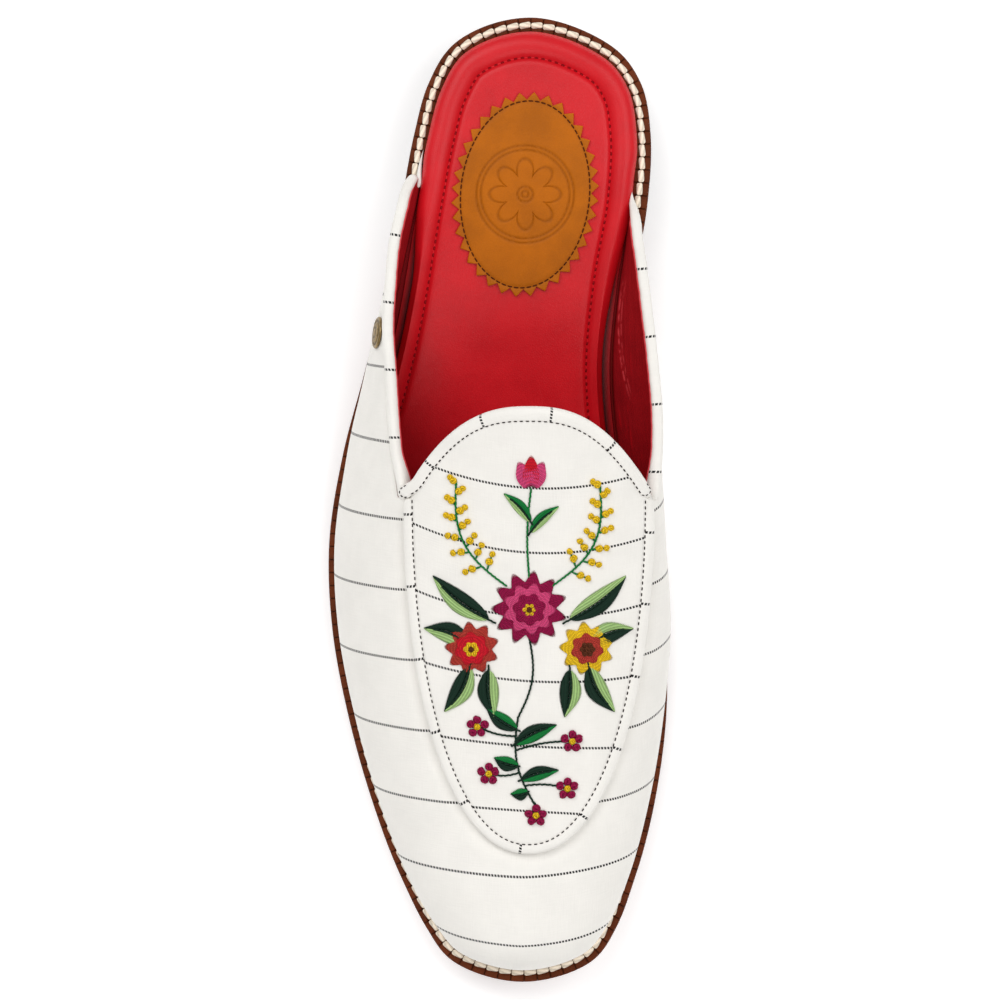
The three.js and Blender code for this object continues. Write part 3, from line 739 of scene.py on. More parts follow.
def cloth_finish(finish):
    """Off-white canvas with thin dotted stripes: a band of slanted dots about each whole pitch."""
    shader = Shader("striped_canvas")
    across, along = shader.chart()
    offset = ((along / STRIPE_PITCH + 0.5) % 1 - 0.5) * STRIPE_PITCH
    band = 1 - shader.ease(abs(offset), *DOT["half_height"])
    gaps = shader.ease(abs((across + offset * DOT["slant"]) / DOT["pitch"] % 1 - 0.5), *DOT["gap"])
    ink = band * (1 - gaps)
    warp = shader.noise(shader.spread(across * YARN["fine"], along * YARN["drawn"]), size=1)
    weft = shader.noise(shader.spread(across * YARN["drawn"], along * YARN["fine"]), size=1)
    soil = shader.noise(shader.place(), size=9, detail=3.0)
    tone = shader.ease(soil * 0.5 + (warp + weft) * 0.25, 0.28, 0.72)
    cloth = shader.mix(tone, shade(finish.cloth, 0.955), shade(finish.cloth, 1.03))
    colour = shader.mix(ink, cloth, shade(finish.ink, 1))
    weave = warp + weft
    return shader.close(colour, roughness=0.86, height=weave, depth=0.12, strength=0.5, sheen_weight=0.12)


def canvas_material(finish):
    """The one canvas that the upper, the apron and their bindings share."""
    return bpy.data.materials.get("striped_canvas") or cloth_finish(finish)


class Leather:
    """Leather: pebble grain and pores as bump, cloudy tone, and a gloss that follows the grain."""

    def __init__(self, name, colour, roughness, grain, depth, spots=0.06, **constants):
        shader = Shader(name)
        pebble = shader.ease(shader.cells(shader.place(), grain), 0.0, 0.35)
        pores = shader.noise(shader.place(), grain * 0.6, detail=3.0)
        cloud = shader.noise(shader.place(), size=11, detail=4.0, rough=0.6)
        tone = shader.ease(cloud * 0.75 + pores * 0.25, 0.3, 0.7)
        self.shader = shader
        self.tinted = shader.mix(tone, shade(colour, 1 - spots * 1.6), shade(colour, 1 + spots))
        self.gloss = roughness + (cloud - 0.5) * 0.16 - pebble * 0.05
        self.height = pebble * 0.6 + pores * 0.5
        self.depth = depth
        self.constants = {"specular_ior_level": 0.25, **constants}

    def finished(self, colour=None):
        """The material, with its colour changed if one is given."""
        colour = colour or self.tinted
        return self.shader.close(
            colour, self.gloss, self.height, self.depth, strength=0.6, **self.constants
        )


def insole_finish(finish):
    """Satin leather of the footbed, with painted shade, nearly black, at the foot of its roll: the chart
    holds that mask.
    """
    leather = Leather(
        "footbed_leather", finish.insole, roughness=0.4, grain=0.55, depth=0.05, specular_ior_level=0.3
    )
    foot, _ = leather.shader.chart()
    # Painted shade: the foot of the roll beside the quarters goes to the lining's red at a twentieth
    return leather.finished(leather.shader.mix(foot, leather.tinted, shade(finish.lining, 0.05)))


def piping_finish(finish):
    """Leather of the bead inside the collar, the lining's red edge, glossier than the footbed's and painted
    paler as a highlight on that edge.
    """
    return Leather("piping_leather", finish.piping, roughness=0.34, grain=0.5, depth=0.04).finished()


def lining_finish(finish):
    """Lining leather, darker than the footbed partly as painted shade, with pale streaks drawn along the
    shoe, partly scuffs and partly painted highlight, and painted highlight along a double crease in the inner
    quarter.
    """
    leather = Leather("lining_leather", finish.lining, roughness=0.5, grain=0.6, depth=0.25, spots=0.1)
    shader = leather.shader
    # Pale streaks on the crests of the drawn wrinkles: partly scuffs, partly painted highlight
    drawn = shader.noise(shader.place((1.1, 0.045, 0.8)), size=1.6)
    leather.height = leather.height * 0.25 + drawn * 2
    scuff_and_highlight = shader.ease(drawn, 0.6, 0.74) * 0.5
    rubbed = shader.mix(scuff_and_highlight, leather.tinted, shade(finish.insole, 1.1))
    # Painted highlight along a double crease in the inner quarter: two pale lines in the piping's colour,
    # with no fold in the surface
    across, along = shader.split(shader.place())
    ahead = along - LINING_CREASE_HIGHLIGHT["bow_along"]
    beside = across - ahead * ahead * LINING_CREASE_HIGHLIGHT["bow"] - LINING_CREASE_HIGHLIGHT["across"]
    inner = 1 - shader.ease(abs(beside), 0.1, 0.34)
    outer = 1 - shader.ease(abs(beside - LINING_CREASE_HIGHLIGHT["apart"]), 0.05, 0.28)
    broken = shader.ease(shader.noise(shader.place((1, 0.5, 0.3)), size=0.9, detail=1.0), 0.36, 0.6)
    ends = 1 - shader.ease(abs(along - LINING_CREASE_HIGHLIGHT["along"]), *LINING_CREASE_HIGHLIGHT["half_length"])
    crease_highlight = (inner + outer * 0.7) * broken * ends
    return leather.finished(shader.mix(crease_highlight * 0.8, rubbed, shade(finish.piping, 1.2)))


def patch_finish(finish):
    """Tan leather, paler on its cut edge and darker in its pressed lines: the chart holds both masks."""
    leather = Leather(
        "patch_leather", finish.patch, roughness=0.5, grain=0.5, depth=0.06, spots=0.1,
        specular_ior_level=0.12,
    )
    shader = leather.shader
    edge, pressed = shader.chart()
    pale = shader.mix(edge * 0.75, leather.tinted, shade(finish.patch, 1.75))
    return leather.finished(shader.mix(pressed * 0.5, pale, shade(finish.patch, 0.45)))


def welt_finish(finish):
    """Brown edge leather: the chart holds the depth in the seam's notches and channel, painted there as
    shade, and what lies inside the shoe, painted as the lining's red in shade.
    """
    leather = Leather(
        "welt_leather", finish.welt, roughness=0.6, grain=0.5, depth=0.06, spots=0.2,
        specular_ior_level=0.06,
    )
    shader = leather.shader
    notch, inside = shader.chart()
    # Painted shade: the notches and the channel go dark
    scored = shader.mix(notch, leather.tinted, shade(finish.welt, 0.22))
    # Painted shade: inside the shoe the welt's top takes the lining's red at 0.6, as the shaded gap between
    # wall and footbed
    return leather.finished(shader.mix(inside, scored, shade(finish.lining, 0.6)))


def outsole_finish(finish):
    """Sole leather, paler and rubbed on the tread: the chart holds the tread's share."""
    leather = Leather(
        "outsole_leather", finish.welt, roughness=0.55, grain=0.7, depth=0.06, spots=0.18,
        specular_ior_level=0.15,
    )
    shader = leather.shader
    tread_share, _ = shader.chart()
    scrapes = shader.noise(shader.place((1, 0.3, 1)), size=5, detail=5.0, rough=0.65)
    rubbed = shader.ease(scrapes, 0.45, 0.75)
    worn = shader.mix(rubbed * 0.5, shade(finish.welt, 1.5), shade(finish.welt, 2.1))
    return leather.finished(shader.mix(tread_share, leather.tinted, worn))


def heel_finish(finish):
    """Stacked leather: streaks along the lifts, dark joints, and a top piece that is nearly black."""
    leather = Leather(
        "stacked_leather", finish.heel, roughness=0.45, grain=0.6, depth=0.05, spots=0.12, coat_weight=0.15
    )
    shader = leather.shader
    line, top_piece = shader.chart()
    streak = shader.noise(shader.place((0.12, 0.12, 2.4)), size=1, detail=3.0)
    layered = shader.mix(shader.ease(streak, 0.35, 0.7) * 0.5, leather.tinted, shade(finish.heel, 1.6))
    lined = shader.mix(line * 0.75, layered, shade(finish.heel, 0.25))
    return leather.finished(shader.mix(top_piece, lined, shade(finish.heel, 0.22)))


def brass_finish(finish):
    """Antique brass: polished high spots, dark patina in the chart's recesses and in blotches."""
    shader = Shader("antique_brass")
    recess, _ = shader.chart()
    blotch = shader.noise(shader.place(), size=0.9, detail=4.0, rough=0.6)
    aged = shader.ease(blotch, 0.42, 0.7) * 0.45 + recess * 0.75
    colour = shader.mix(aged, shade(finish.brass, 1), shade(finish.brass, 0.28))
    gloss = 0.3 + aged * 0.3
    return shader.close(colour, gloss, height=blotch, depth=0.04, strength=0.4, metallic=1.0)


def thread_finish(name, colour, strands=2.0, pitch=1.1, dark=0.6):
    """Plied thread: a sine in the chart's length and turn twists the strands, with painted shade between them
    and painted light on their crowns.
    """
    shader = Shader(name)
    along, turn = shader.chart()
    ply = shader.wave(along / pitch + turn * strands) * 0.5 + 0.5
    fibre = shader.noise(shader.place(), size=0.5, detail=3.0)
    # Painted shade between the strands and painted light on them, mixed with random tone from the fibre noise
    tone = shader.ease(ply * 0.55 + fibre * 0.45, 0.2, 0.75)
    tinted = shader.mix(tone, shade(colour, dark), shade(colour, 1.15))
    twist = ply + fibre * 0.4
    return shader.close(
        tinted, roughness=0.65, height=twist, depth=0.12, strength=0.7, specular_ior_level=0.1
    )


# What a user may change
def colour_setting(name, description, red, green, blue):
    """A colour with its default as a display colour."""
    return FloatVectorProperty(
        name=name, description=description, subtype="COLOR", size=3, min=0, max=1,
        default=linear(red, green, blue),
    )


def length_setting(name, description, millimetres):
    """A length with its default in millimetres."""
    return FloatProperty(
        name=name, description=description, unit="LENGTH", subtype="DISTANCE", min=0, precision=5,
        default=millimetres * MM,
    )


class MuleFinish(bpy.types.PropertyGroup):
    """Colours of the leathers, cloth, brass and threads."""

    cloth: colour_setting("Cloth", "Canvas of the upper and the apron", 234, 231, 225)
    ink: colour_setting("Stripe", "Dotted stripes of the canvas", 22, 21, 22)
    insole: colour_setting("Insole", "Leather of the padded footbed", 202, 16, 28)
    # Piping: the lining's red edge, set paler than the footbed as a painted highlight on it
    piping: colour_setting("Piping", "Bead inside the collar", 208, 66, 72)
    # Lining: the footbed's red set darker, partly as painted shade on the inner walls
    lining: colour_setting("Lining", "Leather inside the upper", 160, 19, 27)
    patch: colour_setting("Patch", "Leather of the heel patch", 177, 95, 5)
    welt: colour_setting("Welt", "Leather of the welt and the sole", 98, 47, 25)
    heel: colour_setting("Heel", "Stacked leather of the heel", 72, 38, 25)
    brass: colour_setting("Brass", "Metal of the rivet", 142, 120, 82)
    welt_thread: colour_setting("Welt thread", "Heavy thread of the sole seam", 240, 226, 206)
    apron_thread: colour_setting("Apron thread", "Thread round the apron", 40, 28, 27)
    insole_thread: colour_setting("Insole thread", "Thread round the footbed", 146, 10, 19)
    patch_thread: colour_setting("Patch thread", "Thread round the heel patch", 84, 34, 11)


class MuleSewing(bpy.types.PropertyGroup):
    """Sizes of the layers and seams."""

    cloth: length_setting("Cloth", "Thickness of the canvas", 0.8)
    lining: length_setting("Lining", "Thickness of the lining", 0.7)
    welt_pitch: length_setting("Welt stitch", "Distance between stitches of the sole seam", 3.6)
    insole_pitch: length_setting("Insole stitch", "Distance between stitches of the footbed", 1.9)
    apron_pitch: length_setting("Apron stitch", "Distance between stitches of the apron", 1.65)
    patch_pitch: length_setting("Patch stitch", "Distance between stitches of the patch", 1.75)
    floss: length_setting("Floss", "Radius of an embroidery thread", 0.3)


# Sole pieces
def ring_grid(rows, section, base):
    """A section of inset and rise carried round the sole's edge, as a grid whose ring is closed."""
    closed = np.vstack([rows, rows[:1]])
    plan = inset(closed[:, None], section[:, 0])
    return raised(plan, base(plan[..., 1]) + section[:, 1])


def add_cap(skin, ring, columns, faces_up, chart=(0, 0)):
    """Closes a ring, heel first, with straight rungs between its two sides."""
    half = len(ring) // 2
    lateral = ring[: half + 1]
    medial = np.vstack([ring[:1], ring[half:][::-1]])[: half + 1]
    share = np.linspace(0, 1, columns + 1)[:, None]
    rungs = lerp(lateral[:, None], medial[:, None], share)
    skin.add(rungs, np.broadcast_to(np.array(chart, float), rungs.shape[:2] + (2,)), flip=not faces_up)


def section_curve(rows, per_span=5):
    """A section's corners rounded: an open curve through its rows, as half of a closed one there and back."""
    rows = np.array(rows, float)
    loop = closed_curve(np.vstack([rows, rows[-2:0:-1]]), per_span)
    return loop[: (len(rows) - 1) * per_span + 1]


OUTSOLE_SECTION = (
    (3.2, 0), (2, 0), (1.2, 0.35), (0.85, 1.1), (0.62, 2.4), (0.6, 3.6), (0.75, 4.2), (2.2, 4.2),
)
HEEL_LIFTS = 4
HEEL_GROOVE = {"width": 0.022, "depth": 0.28}
HEEL_LIP = {"inset": 0.7, "fade": 0.02}
HEEL_TOP_PIECE = (0.235, 0.255)
WELT_SECTION = np.array([
    (11.5, 0), (0.5, 0), (0.12, 0.2), (0, 0.7), (0, 1.3), (0, 1.9), (0.06, 2.4), (0.25, 2.75), (0.6, 2.94),
    (0.95, 3), (1.2, 3), (1.4, 2.9), (1.8, 2.72), (2.2, 2.66), (2.6, 2.72), (3, 2.9), (3.2, 3), (3.6, 3),
    (4, 3), (4.4, 3), (5.2, 3), (11.5, 3),
])
# The dark shares of the channel and of the notches are painted shade
WELT_CHANNEL = {"distance": 2.2, "pull": 1.6, "width": 0.7, "dark": 0.55}
WELT_SCORE = {"width": 0.045, "depth": 0.34, "side_depth": 0.16, "dark": 0.9}
WELT_STITCH = {"end": 0.985, "slant": 0.2, "sunk": 0.02, "radius": 0.86, "power": 9, "flat": 0.6, "sides": 10}
WELT_BARE_SPAN = (78, 84)
SEAM_INSET = {"heel": 2.15, "inner_heel": 0.4, "vamp": 2.9, "toe": 2.7, "outer_toe": 0.45}
INSOLE_UNDER = ((11.8, -3), (11.8, 0))
INSOLE_ROLL = (
    (4.8, 0), (4.5, 1.4), (4.9, 2.7), (5.9, 3.8), (7.3, 4.4), (8.7, 4.3), (9.9, 3.8), (10.7, 3.15),
    (11.1, 2.8), (11.5, 3.15), (12.1, 3.55), (13, INSOLE_FLAT),
)
INSOLE_SEAM = {"distance": 11.1, "rise": 2.98, "dash": 1.0, "radius": 0.3}
FOOTBED_DRAW = {"whole": 1.3, "lateral_roll": 2.1, "medial_roll": 2.2, "heel_roll": 0.6}


def make_outsole(finish):
    """The outsole: a rounded edge carried round the sole, with a flat tread and a flat top."""
    rows = SOLE.ring(240)
    section = section_curve(OUTSOLE_SECTION)
    section[:, 1] = np.clip(section[:, 1], 0, OUTSOLE_THICKNESS)
    grid = ring_grid(rows, section, tread)
    tread_share = 1 - smoothstep(section[:, 1], 0.1, 0.9)
    chart = np.stack(np.broadcast_arrays(tread_share, 0.0), -1)
    skin = Skin().add(grid, np.broadcast_to(chart, grid.shape[:2] + (2,)))
    add_cap(skin, grid[:-1, 0], columns=24, faces_up=False, chart=(1, 0))
    add_cap(skin, grid[:-1, -1], columns=24, faces_up=True)
    skin.piece("outsole_body", outsole_finish(finish), "sole_leather", ["outsole"], crisp=50)


def make_heel(finish):
    """The heel: lifts stacked between the floor and the outsole, each with a scored line at its joint."""
    rows_per_lift = 6
    share = np.linspace(0, 1, HEEL_LIFTS * rows_per_lift + 1)
    joint = np.abs((share * HEEL_LIFTS + 0.5) % 1 - 0.5) / HEEL_LIFTS
    scored = bell(joint, HEEL_GROOVE["width"]) * (share > 0.02) * (share < 0.98)
    carved = HEEL_GROOVE["depth"] * scored + HEEL_LIP["inset"] * np.exp(-share / HEEL_LIP["fade"])
    loops = []
    for level, cut in zip(share, carved):
        distance = lerp(HEEL_BOTTOM_INSET, HEEL_TOP_INSET, level) + cut
        breast = HEEL_BREAST + lerp(HEEL_BREAST_LEAN, 0, level) + cut
        sides = [stretch(inset(SOLE.side(side), distance), SOLE_LENGTH, breast, 60) for side in SIDES]
        face = lerp(sides[0][-1], sides[1][-1], np.linspace(0, 1, 14)[1:-1, None])
        plan = np.vstack([sides[0], face, sides[1][:0:-1]])
        loops.append(raised(plan, level * (tread(plan[:, 1]) - GAP)))
    grid = np.stack(loops, 1)
    ring = np.concatenate([grid, grid[:1]])
    top_piece = 1 - smoothstep(share, *HEEL_TOP_PIECE)
    chart = np.broadcast_to(np.stack([scored, top_piece], -1), ring.shape[:2] + (2,))
    skin = Skin().add(ring, chart)
    add_cap(skin, grid[:, 0], columns=16, faces_up=False, chart=(0, 1))
    add_cap(skin, grid[:, -1], columns=16, faces_up=True)
    skin.piece("heel_stack", heel_finish(finish), "heel_leather", ["heel_block"], crisp=50)


def seam_inset(rows):
    """Distance of the sole seam from the edge: less round the heel and the outer toe than elsewhere."""
    along, facing = rows[..., 1], rows[..., 2]
    heel = SEAM_INSET["heel"] + SEAM_INSET["inner_heel"] * smoothstep(facing, 0.2, 0.9)
    front = lerp(SEAM_INSET["vamp"], SEAM_INSET["toe"], smoothstep(-along, 88, 128))
    front = front - SEAM_INSET["outer_toe"] * smoothstep(-facing, 0.3, 0.8) * smoothstep(-along, 50, 85)
    return lerp(front, heel, smoothstep(along, 78, 90))


def make_welt(finish, sewing):
    """The welt: its top has a channel for the seam and a scored line across it between stitches."""
    pitch = sewing.welt_pitch / MM
    count = round(SOLE.length / pitch)
    within = np.array([0, 0.035, 0.09, 0.2, 0.5, 0.8, 0.91, 0.965])
    reach = ((np.arange(count)[:, None] + within).ravel()) * SOLE.length / count
    rows = SOLE.at(reach)
    rows = np.vstack([rows, rows[:1]])
    cut = np.tile(bell(np.minimum(within, 1 - within), WELT_SCORE["width"]), count)
    cut = np.append(cut, cut[0])[:, None]
    distance, rise = WELT_SECTION.T
    from_channel = distance - WELT_CHANNEL["distance"]
    shift = seam_inset(rows)[:, None] - WELT_CHANNEL["distance"]
    moved = distance + shift * bell(from_channel, WELT_CHANNEL["pull"])
    bare = smoothstep(rows[:, 1:2], *WELT_BARE_SPAN)
    reach_in = lerp(2.5, 5.2, bare)
    on_top = smoothstep(rise, 1.9, 2.7) * (1 - smoothstep(distance, reach_in - 0.3, reach_in))
    on_side = smoothstep(rise, 1.6, 2.4) * (distance < 0.3)
    plan = inset(rows[:, None], moved + WELT_SCORE["side_depth"] * cut * on_side)
    grid = raised(plan, welt_base(plan[..., 1]) + rise - WELT_SCORE["depth"] * cut * on_top)
    # Masks of painted shade in the notches and the channel
    notch = np.clip(cut * on_top * WELT_SCORE["dark"], 0, 1)
    channel = bell(from_channel, WELT_CHANNEL["width"]) * on_top * WELT_CHANNEL["dark"]
    # Mask of painted shade on the welt's top inside the shoe
    start = lerp(3.4, 3.9, bare)
    inside = smoothstep(distance, start, start + 0.6) * (rise > 2.9)
    chart = np.stack([np.maximum(notch, channel), inside], -1)
    skin = Skin().add(np.concatenate([grid, grid[:, :1]], 1), np.concatenate([chart, chart[:, :1]], 1))
    skin.piece("welt_strip", welt_finish(finish), "sole_leather", ["welt"], crisp=60)

    place = bunched(10)
    share = lerp(0.5, WELT_STITCH["end"], place)
    reach = (np.arange(count)[:, None] + share) * SOLE.length / count
    line = SOLE.at(reach)
    plan = inset(line, seam_inset(line) + WELT_STITCH["slant"] * place)
    paths = raised(plan, welt_base(plan[..., 1]) + WELT_THICKNESS - WELT_STITCH["sunk"])
    thickness = WELT_STITCH["radius"] * closing(place, WELT_STITCH["power"])
    bars = tube_grid(paths, thickness, WELT_STITCH["sides"], WELT_STITCH["flat"])
    stitches = Skin().add(bars, tube_chart(paths, WELT_STITCH["sides"]), wrap=True)
    thread = thread_finish("welt_thread", finish.welt_thread, strands=3.0, pitch=3.6, dark=0.8)
    stitches.piece("welt_stitches", thread, "sole_leather")


def footbed_narrowing(rows):
    """How far the whole footbed draws in from the outer quarter, and its roll alone from both quarters."""
    ahead = -rows[:, 1:2]
    lateral = smoothstep(-rows[:, 2:3], 0.3, 0.9)
    medial = smoothstep(rows[:, 2:3], 0.3, 0.9)
    lateral_roll = FOOTBED_DRAW["lateral_roll"] * lateral * smoothstep(ahead, -84, -60)
    medial_roll = FOOTBED_DRAW["medial_roll"] * medial * smoothstep(ahead, -80, -36)
    return FOOTBED_DRAW["whole"] * lateral * smoothstep(ahead, -84, -40), lateral_roll + medial_roll


def make_insole(finish, sewing):
    """The footbed: a rolled rim carried round the sole's edge, a flat middle, and a sewn groove between."""
    rows = SOLE.ring(260, flare=0)
    closed = np.vstack([rows, rows[:1]])
    distance, rise = np.vstack([INSOLE_UNDER, section_curve(INSOLE_ROLL)]).T
    outer = smoothstep(-distance, -9, -5) * (rise > 0.5)
    whole, roll = footbed_narrowing(closed)
    draw_in = whole + outer * (roll - FOOTBED_DRAW["heel_roll"] * smoothstep(closed[:, 1:2], 86, 96))
    plan = inset(closed[:, None], distance + draw_in)
    grid = raised(plan, upper_seat(plan[..., 1]) + rise)
    # Mask of painted shade at the foot of the roll, where the roll is drawn in from the quarters
    foot = smoothstep(rise, 0.25, 0.55) * (1 - smoothstep(rise, 0.8, 2)) * smoothstep(roll, 0.2, 1.2)
    skin = Skin().add(grid, np.stack([foot, np.zeros_like(foot)], -1))
    add_cap(skin, grid[:-1, 0], columns=20, faces_up=False)
    add_cap(skin, grid[:-1, -1], columns=40, faces_up=True)
    pad = skin.piece("insole_pad", insole_finish(finish), "insole_leather", ["insole"], crisp=60)

    seam = SOLE.ring(900, flare=0)
    seam = np.vstack([seam, seam[:1]])
    plan = inset(seam, INSOLE_SEAM["distance"] + footbed_narrowing(seam)[0][:, 0])
    line = raised(plan, upper_seat(plan[:, 1]) + INSOLE_SEAM["rise"])
    stitches = Skin()
    pitch = sewing.insole_pitch / MM
    add_stitches(stitches, line, UP, pitch, INSOLE_SEAM["dash"], INSOLE_SEAM["radius"], closed=True)
    stitches.piece("insole_stitches", thread_finish("insole_thread", finish.insole_thread), "insole_leather")


ROSETTE = {"rings": (0.9, 2.1, 12.2, 13.4), "petal": 5.2, "petal_swell": 4.6, "line": 0.3}
PATCH_RELIEF = {"seat": 0.05, "rim": 0.25, "rosette": 0.3, "seam": 0.22, "seam_width": 0.45}


def patch_plan(angle, share, depth):
    """Places on the patch: the oval of the teeth's tips drawn in by a depth, scaled by a share and tilted."""
    x = np.sin(angle) * (PATCH_HALF_WIDTH - depth) * share
    y = np.cos(angle) * (PATCH_HALF_LENGTH - depth) * share
    tilt_cos, tilt_sin = np.cos(PATCH_TILT), np.sin(PATCH_TILT)
    across = PATCH_CENTRE[0] - x * tilt_cos - y * tilt_sin
    along = PATCH_CENTRE[1] - x * tilt_sin + y * tilt_cos
    return np.stack([across, along], -1)


def rosette(x, y):
    """Depth mask of pressed lines: four rings, and eight petals drawn by a cosine of the angle."""
    radius = np.hypot(x, y)
    petal = ROSETTE["petal"] + ROSETTE["petal_swell"] * np.abs(np.cos(4 * np.arctan2(y, x))) ** 0.7
    lines = [radius - ring for ring in ROSETTE["rings"]] + [(radius - petal) * 0.75]
    return np.max([bell(line, ROSETTE["line"]) for line in lines], axis=0)


def make_patch(finish, sewing):
    """The patch: polar grid whose rim is cut into teeth by a triangle wave, with a pressed rosette."""
    per_tooth = 8
    count = PATCH_TEETH * per_tooth
    even = np.arange(count) * 2 * np.pi / count
    angle = even + PATCH_SPREAD * np.sin(2 * even)
    cut = PATCH_TOOTH * (1 - np.abs((np.arange(count) / per_tooth) % 1 - 0.5) * 2)
    inner = np.linspace(0, 1, 66)[:, None]
    outer = np.linspace(0, 1, 8)[1:, None]
    share = np.concatenate([inner, np.ones_like(outer)])
    depth = np.concatenate([np.full((len(inner), count), PATCH_SEAM), lerp(PATCH_SEAM, cut, outer)])
    plan = patch_plan(angle, share, depth)
    centred = plan - PATCH_CENTRE
    pressed = rosette(centred[..., 0], centred[..., 1])
    seat = upper_seat(plan[..., 1]) + INSOLE_FLAT + PATCH_RELIEF["seat"]
    rim = np.concatenate([np.zeros_like(inner), smoothstep(outer, 0.8, 1)])
    from_seam = np.maximum((1 - share) * PATCH_HALF_WIDTH, PATCH_SEAM - depth)
    dip = bell(from_seam, PATCH_RELIEF["seam_width"])
    relief = PATCH_RELIEF["rim"] * rim**2 + PATCH_RELIEF["rosette"] * pressed + PATCH_RELIEF["seam"] * dip
    top = seat + PATCH_THICKNESS - relief
    chart = np.stack([np.broadcast_to(rim, dip.shape), pressed + dip * 0.4], -1)
    chart = np.concatenate([chart, chart[:, :1]], 1)
    skin = Skin().add(raised(plan, top), chart, wrap=True)
    wall = np.stack([raised(plan[-1], top[-1]), raised(plan[-1], seat[-1])])
    skin.add(wall, np.ones((2, count + 1, 2)) * (1, 0), wrap=True)
    under = [0, len(inner) // 2, -1]
    skin.add(raised(plan[under], seat[under]), flip=True, wrap=True)
    skin.piece("patch_oval", patch_finish(finish), "patch_leather", ["insole_patch"], crisp=45)

    turn = np.linspace(0, 2 * np.pi, 1200)
    plan = patch_plan(turn, 1, PATCH_SEAM)
    line = raised(plan, upper_seat(plan[:, 1]) + INSOLE_FLAT + PATCH_THICKNESS - 0.08)
    stitches = Skin()
    add_stitches(stitches, line, UP, sewing.patch_pitch / MM, dash=1.42, radius=0.21, closed=True)
    stitches.piece("patch_stitches", thread_finish("patch_thread", finish.patch_thread), "patch_leather")


# Upper
WALL_ROWS = 26
STRIP_ROWS = 3
VAMP_ROWS = 44
QUARTER_STEPS = 80
VAMP_STEPS = 112
TOE_STEPS = 56
UPPER_WELD = 0.06
LINING_GAP = 0.04
VALLEY = {"depth": 0.8, "beside": 0.7, "width": 1.7, "start": (1, 9)}


def row_shares(side):
    """Parameters of the upper's rows: up the quarter to the notch, to the apron's corner, to the crest."""
    notch = wall_top(side, 0)
    corner = rib_at(side, 0).share_across(APRON_ACROSS + SIGN[side] * APRON_HALF_WIDTH)
    wall = np.linspace(0, notch, WALL_ROWS + 1)
    strip = np.linspace(notch, corner, STRIP_ROWS + 1)[1:]
    vamp = np.linspace(corner, 1, VAMP_ROWS + 1)[1:]
    return np.concatenate([wall, strip, vamp])


def throat_at(side, shares):
    """Distance along the shoe at which the throat's arch crosses each row, by repeated substitution."""
    along = np.zeros_like(shares)
    for _ in range(30):
        along = np.maximum(0, throat_along(rib_at(side, along).on(shares)[..., 0]))
    return along


def quarter_tuck(side, along):
    """How far the quarter's heel end leans in over the footbed."""
    shape = QUARTER_SHAPE[side]
    return shape["tuck"] * smoothstep(along, shape["tuck_from"], QUARTER_END[side] + 2)


def quarter_block(side):
    """Grid of the low quarter, from its heel end to the notch, with the rows' parameters."""
    along = QUARTER_END[side] * np.cos(np.linspace(0, QUARTER_TURN, QUARTER_STEPS + 1))
    along[-1] = 0
    rows = np.linspace(0, 1, WALL_ROWS + 1)
    shares = wall_top(side, along)[:, None] * rows
    points = rib_at(side, along[:, None]).on(shares)
    points[..., 0] -= SIGN[side] * quarter_tuck(side, along)[:, None] * lerp(0.6, 1, rows)
    return points, shares


def front_block(side):
    """Grid of the vamp, slanting back to the throat, and of the toe, where the ribs fan out to meet."""
    shares = row_shares(side)
    slant = throat_at(side, shares) / APRON_THROAT
    ahead = np.linspace(0, 1, VAMP_STEPS + 1)[:, None]
    reach = APRON_THROAT * (1 - smoothstep(ahead, 0, 0.8))
    vamp = rib_at(side, lerp(APRON_THROAT, TOE_FAN_START, ahead) - reach + reach * slant).on(shares)
    turned = np.linspace(0, 1, TOE_STEPS + 1)
    foot = stretch(FOOT[side], TOE_FAN_START, -SOLE_LENGTH, TOE_STEPS)[:, None]
    belly = stretch(BELLY[side], TOE_FAN_START, -SOLE_LENGTH, TOE_STEPS)[:, None]
    crest_along = lerp(CREST_END, TOE_FAN_START, (1 - turned) ** TOE_FAN_POWER)[:, None]
    tip = (row_shares("lateral") + row_shares("medial")) / 2
    toe_shares = lerp(shares, tip, turned[:, None])
    toe = Rib(side, foot, belly, crest_along).on(toe_shares)
    shares = np.broadcast_to(shares, vamp.shape[:2])
    return np.concatenate([vamp, toe[1:]]), np.concatenate([shares, toe_shares[1:]])


def stripe_chart(side, points, shares):
    """Chart of the upper: distance across and down from the crest, and along, less the stripes' lift.

    The share of the way from crest to belly counts in full up to a start, then levels out as a parabola.
    """
    along = points[..., 1]
    crest_along = np.maximum(along, CREST_END)
    across = points[..., 0] - CREST.at("across", crest_along)
    height = CREST.at("height", crest_along)
    drop = np.maximum(0, height - points[..., 2])
    wall = np.maximum(0, drop - STRIPE_STRETCH["wall_start"] * (height - upper_seat(along)))
    toe = STRIPE_STRETCH["toe_loss"] * smoothstep(-along, *STRIPE_STRETCH["toe"])
    bent = (STRIPE_STRETCH["drop"] * drop + STRIPE_STRETCH["wall"] * wall) * (1 - toe)
    across = across + SIGN[side] * bent * smoothstep(np.abs(across), 0, STRIPE_STRETCH["crest"])
    rest = np.maximum(0, (1 - shares) / (1 - BELLY_SHARE))
    past = np.clip(rest - STRIPE_EASE["start"], 0, STRIPE_EASE["reach"])
    rest = np.minimum(rest, STRIPE_EASE["start"]) + past - past**2 / (2 * STRIPE_EASE["reach"])
    fall = UPPER_LIFT.at(f"{side}_fall", along) * (1 - rest ** UPPER_STRIPE["bend"])
    level = along - UPPER_LIFT.at(side, along) + fall - UPPER_STRIPE["first"]
    return np.stack([across, level * STRIPE_PITCH / UPPER_STRIPE["pitch"]], -1)


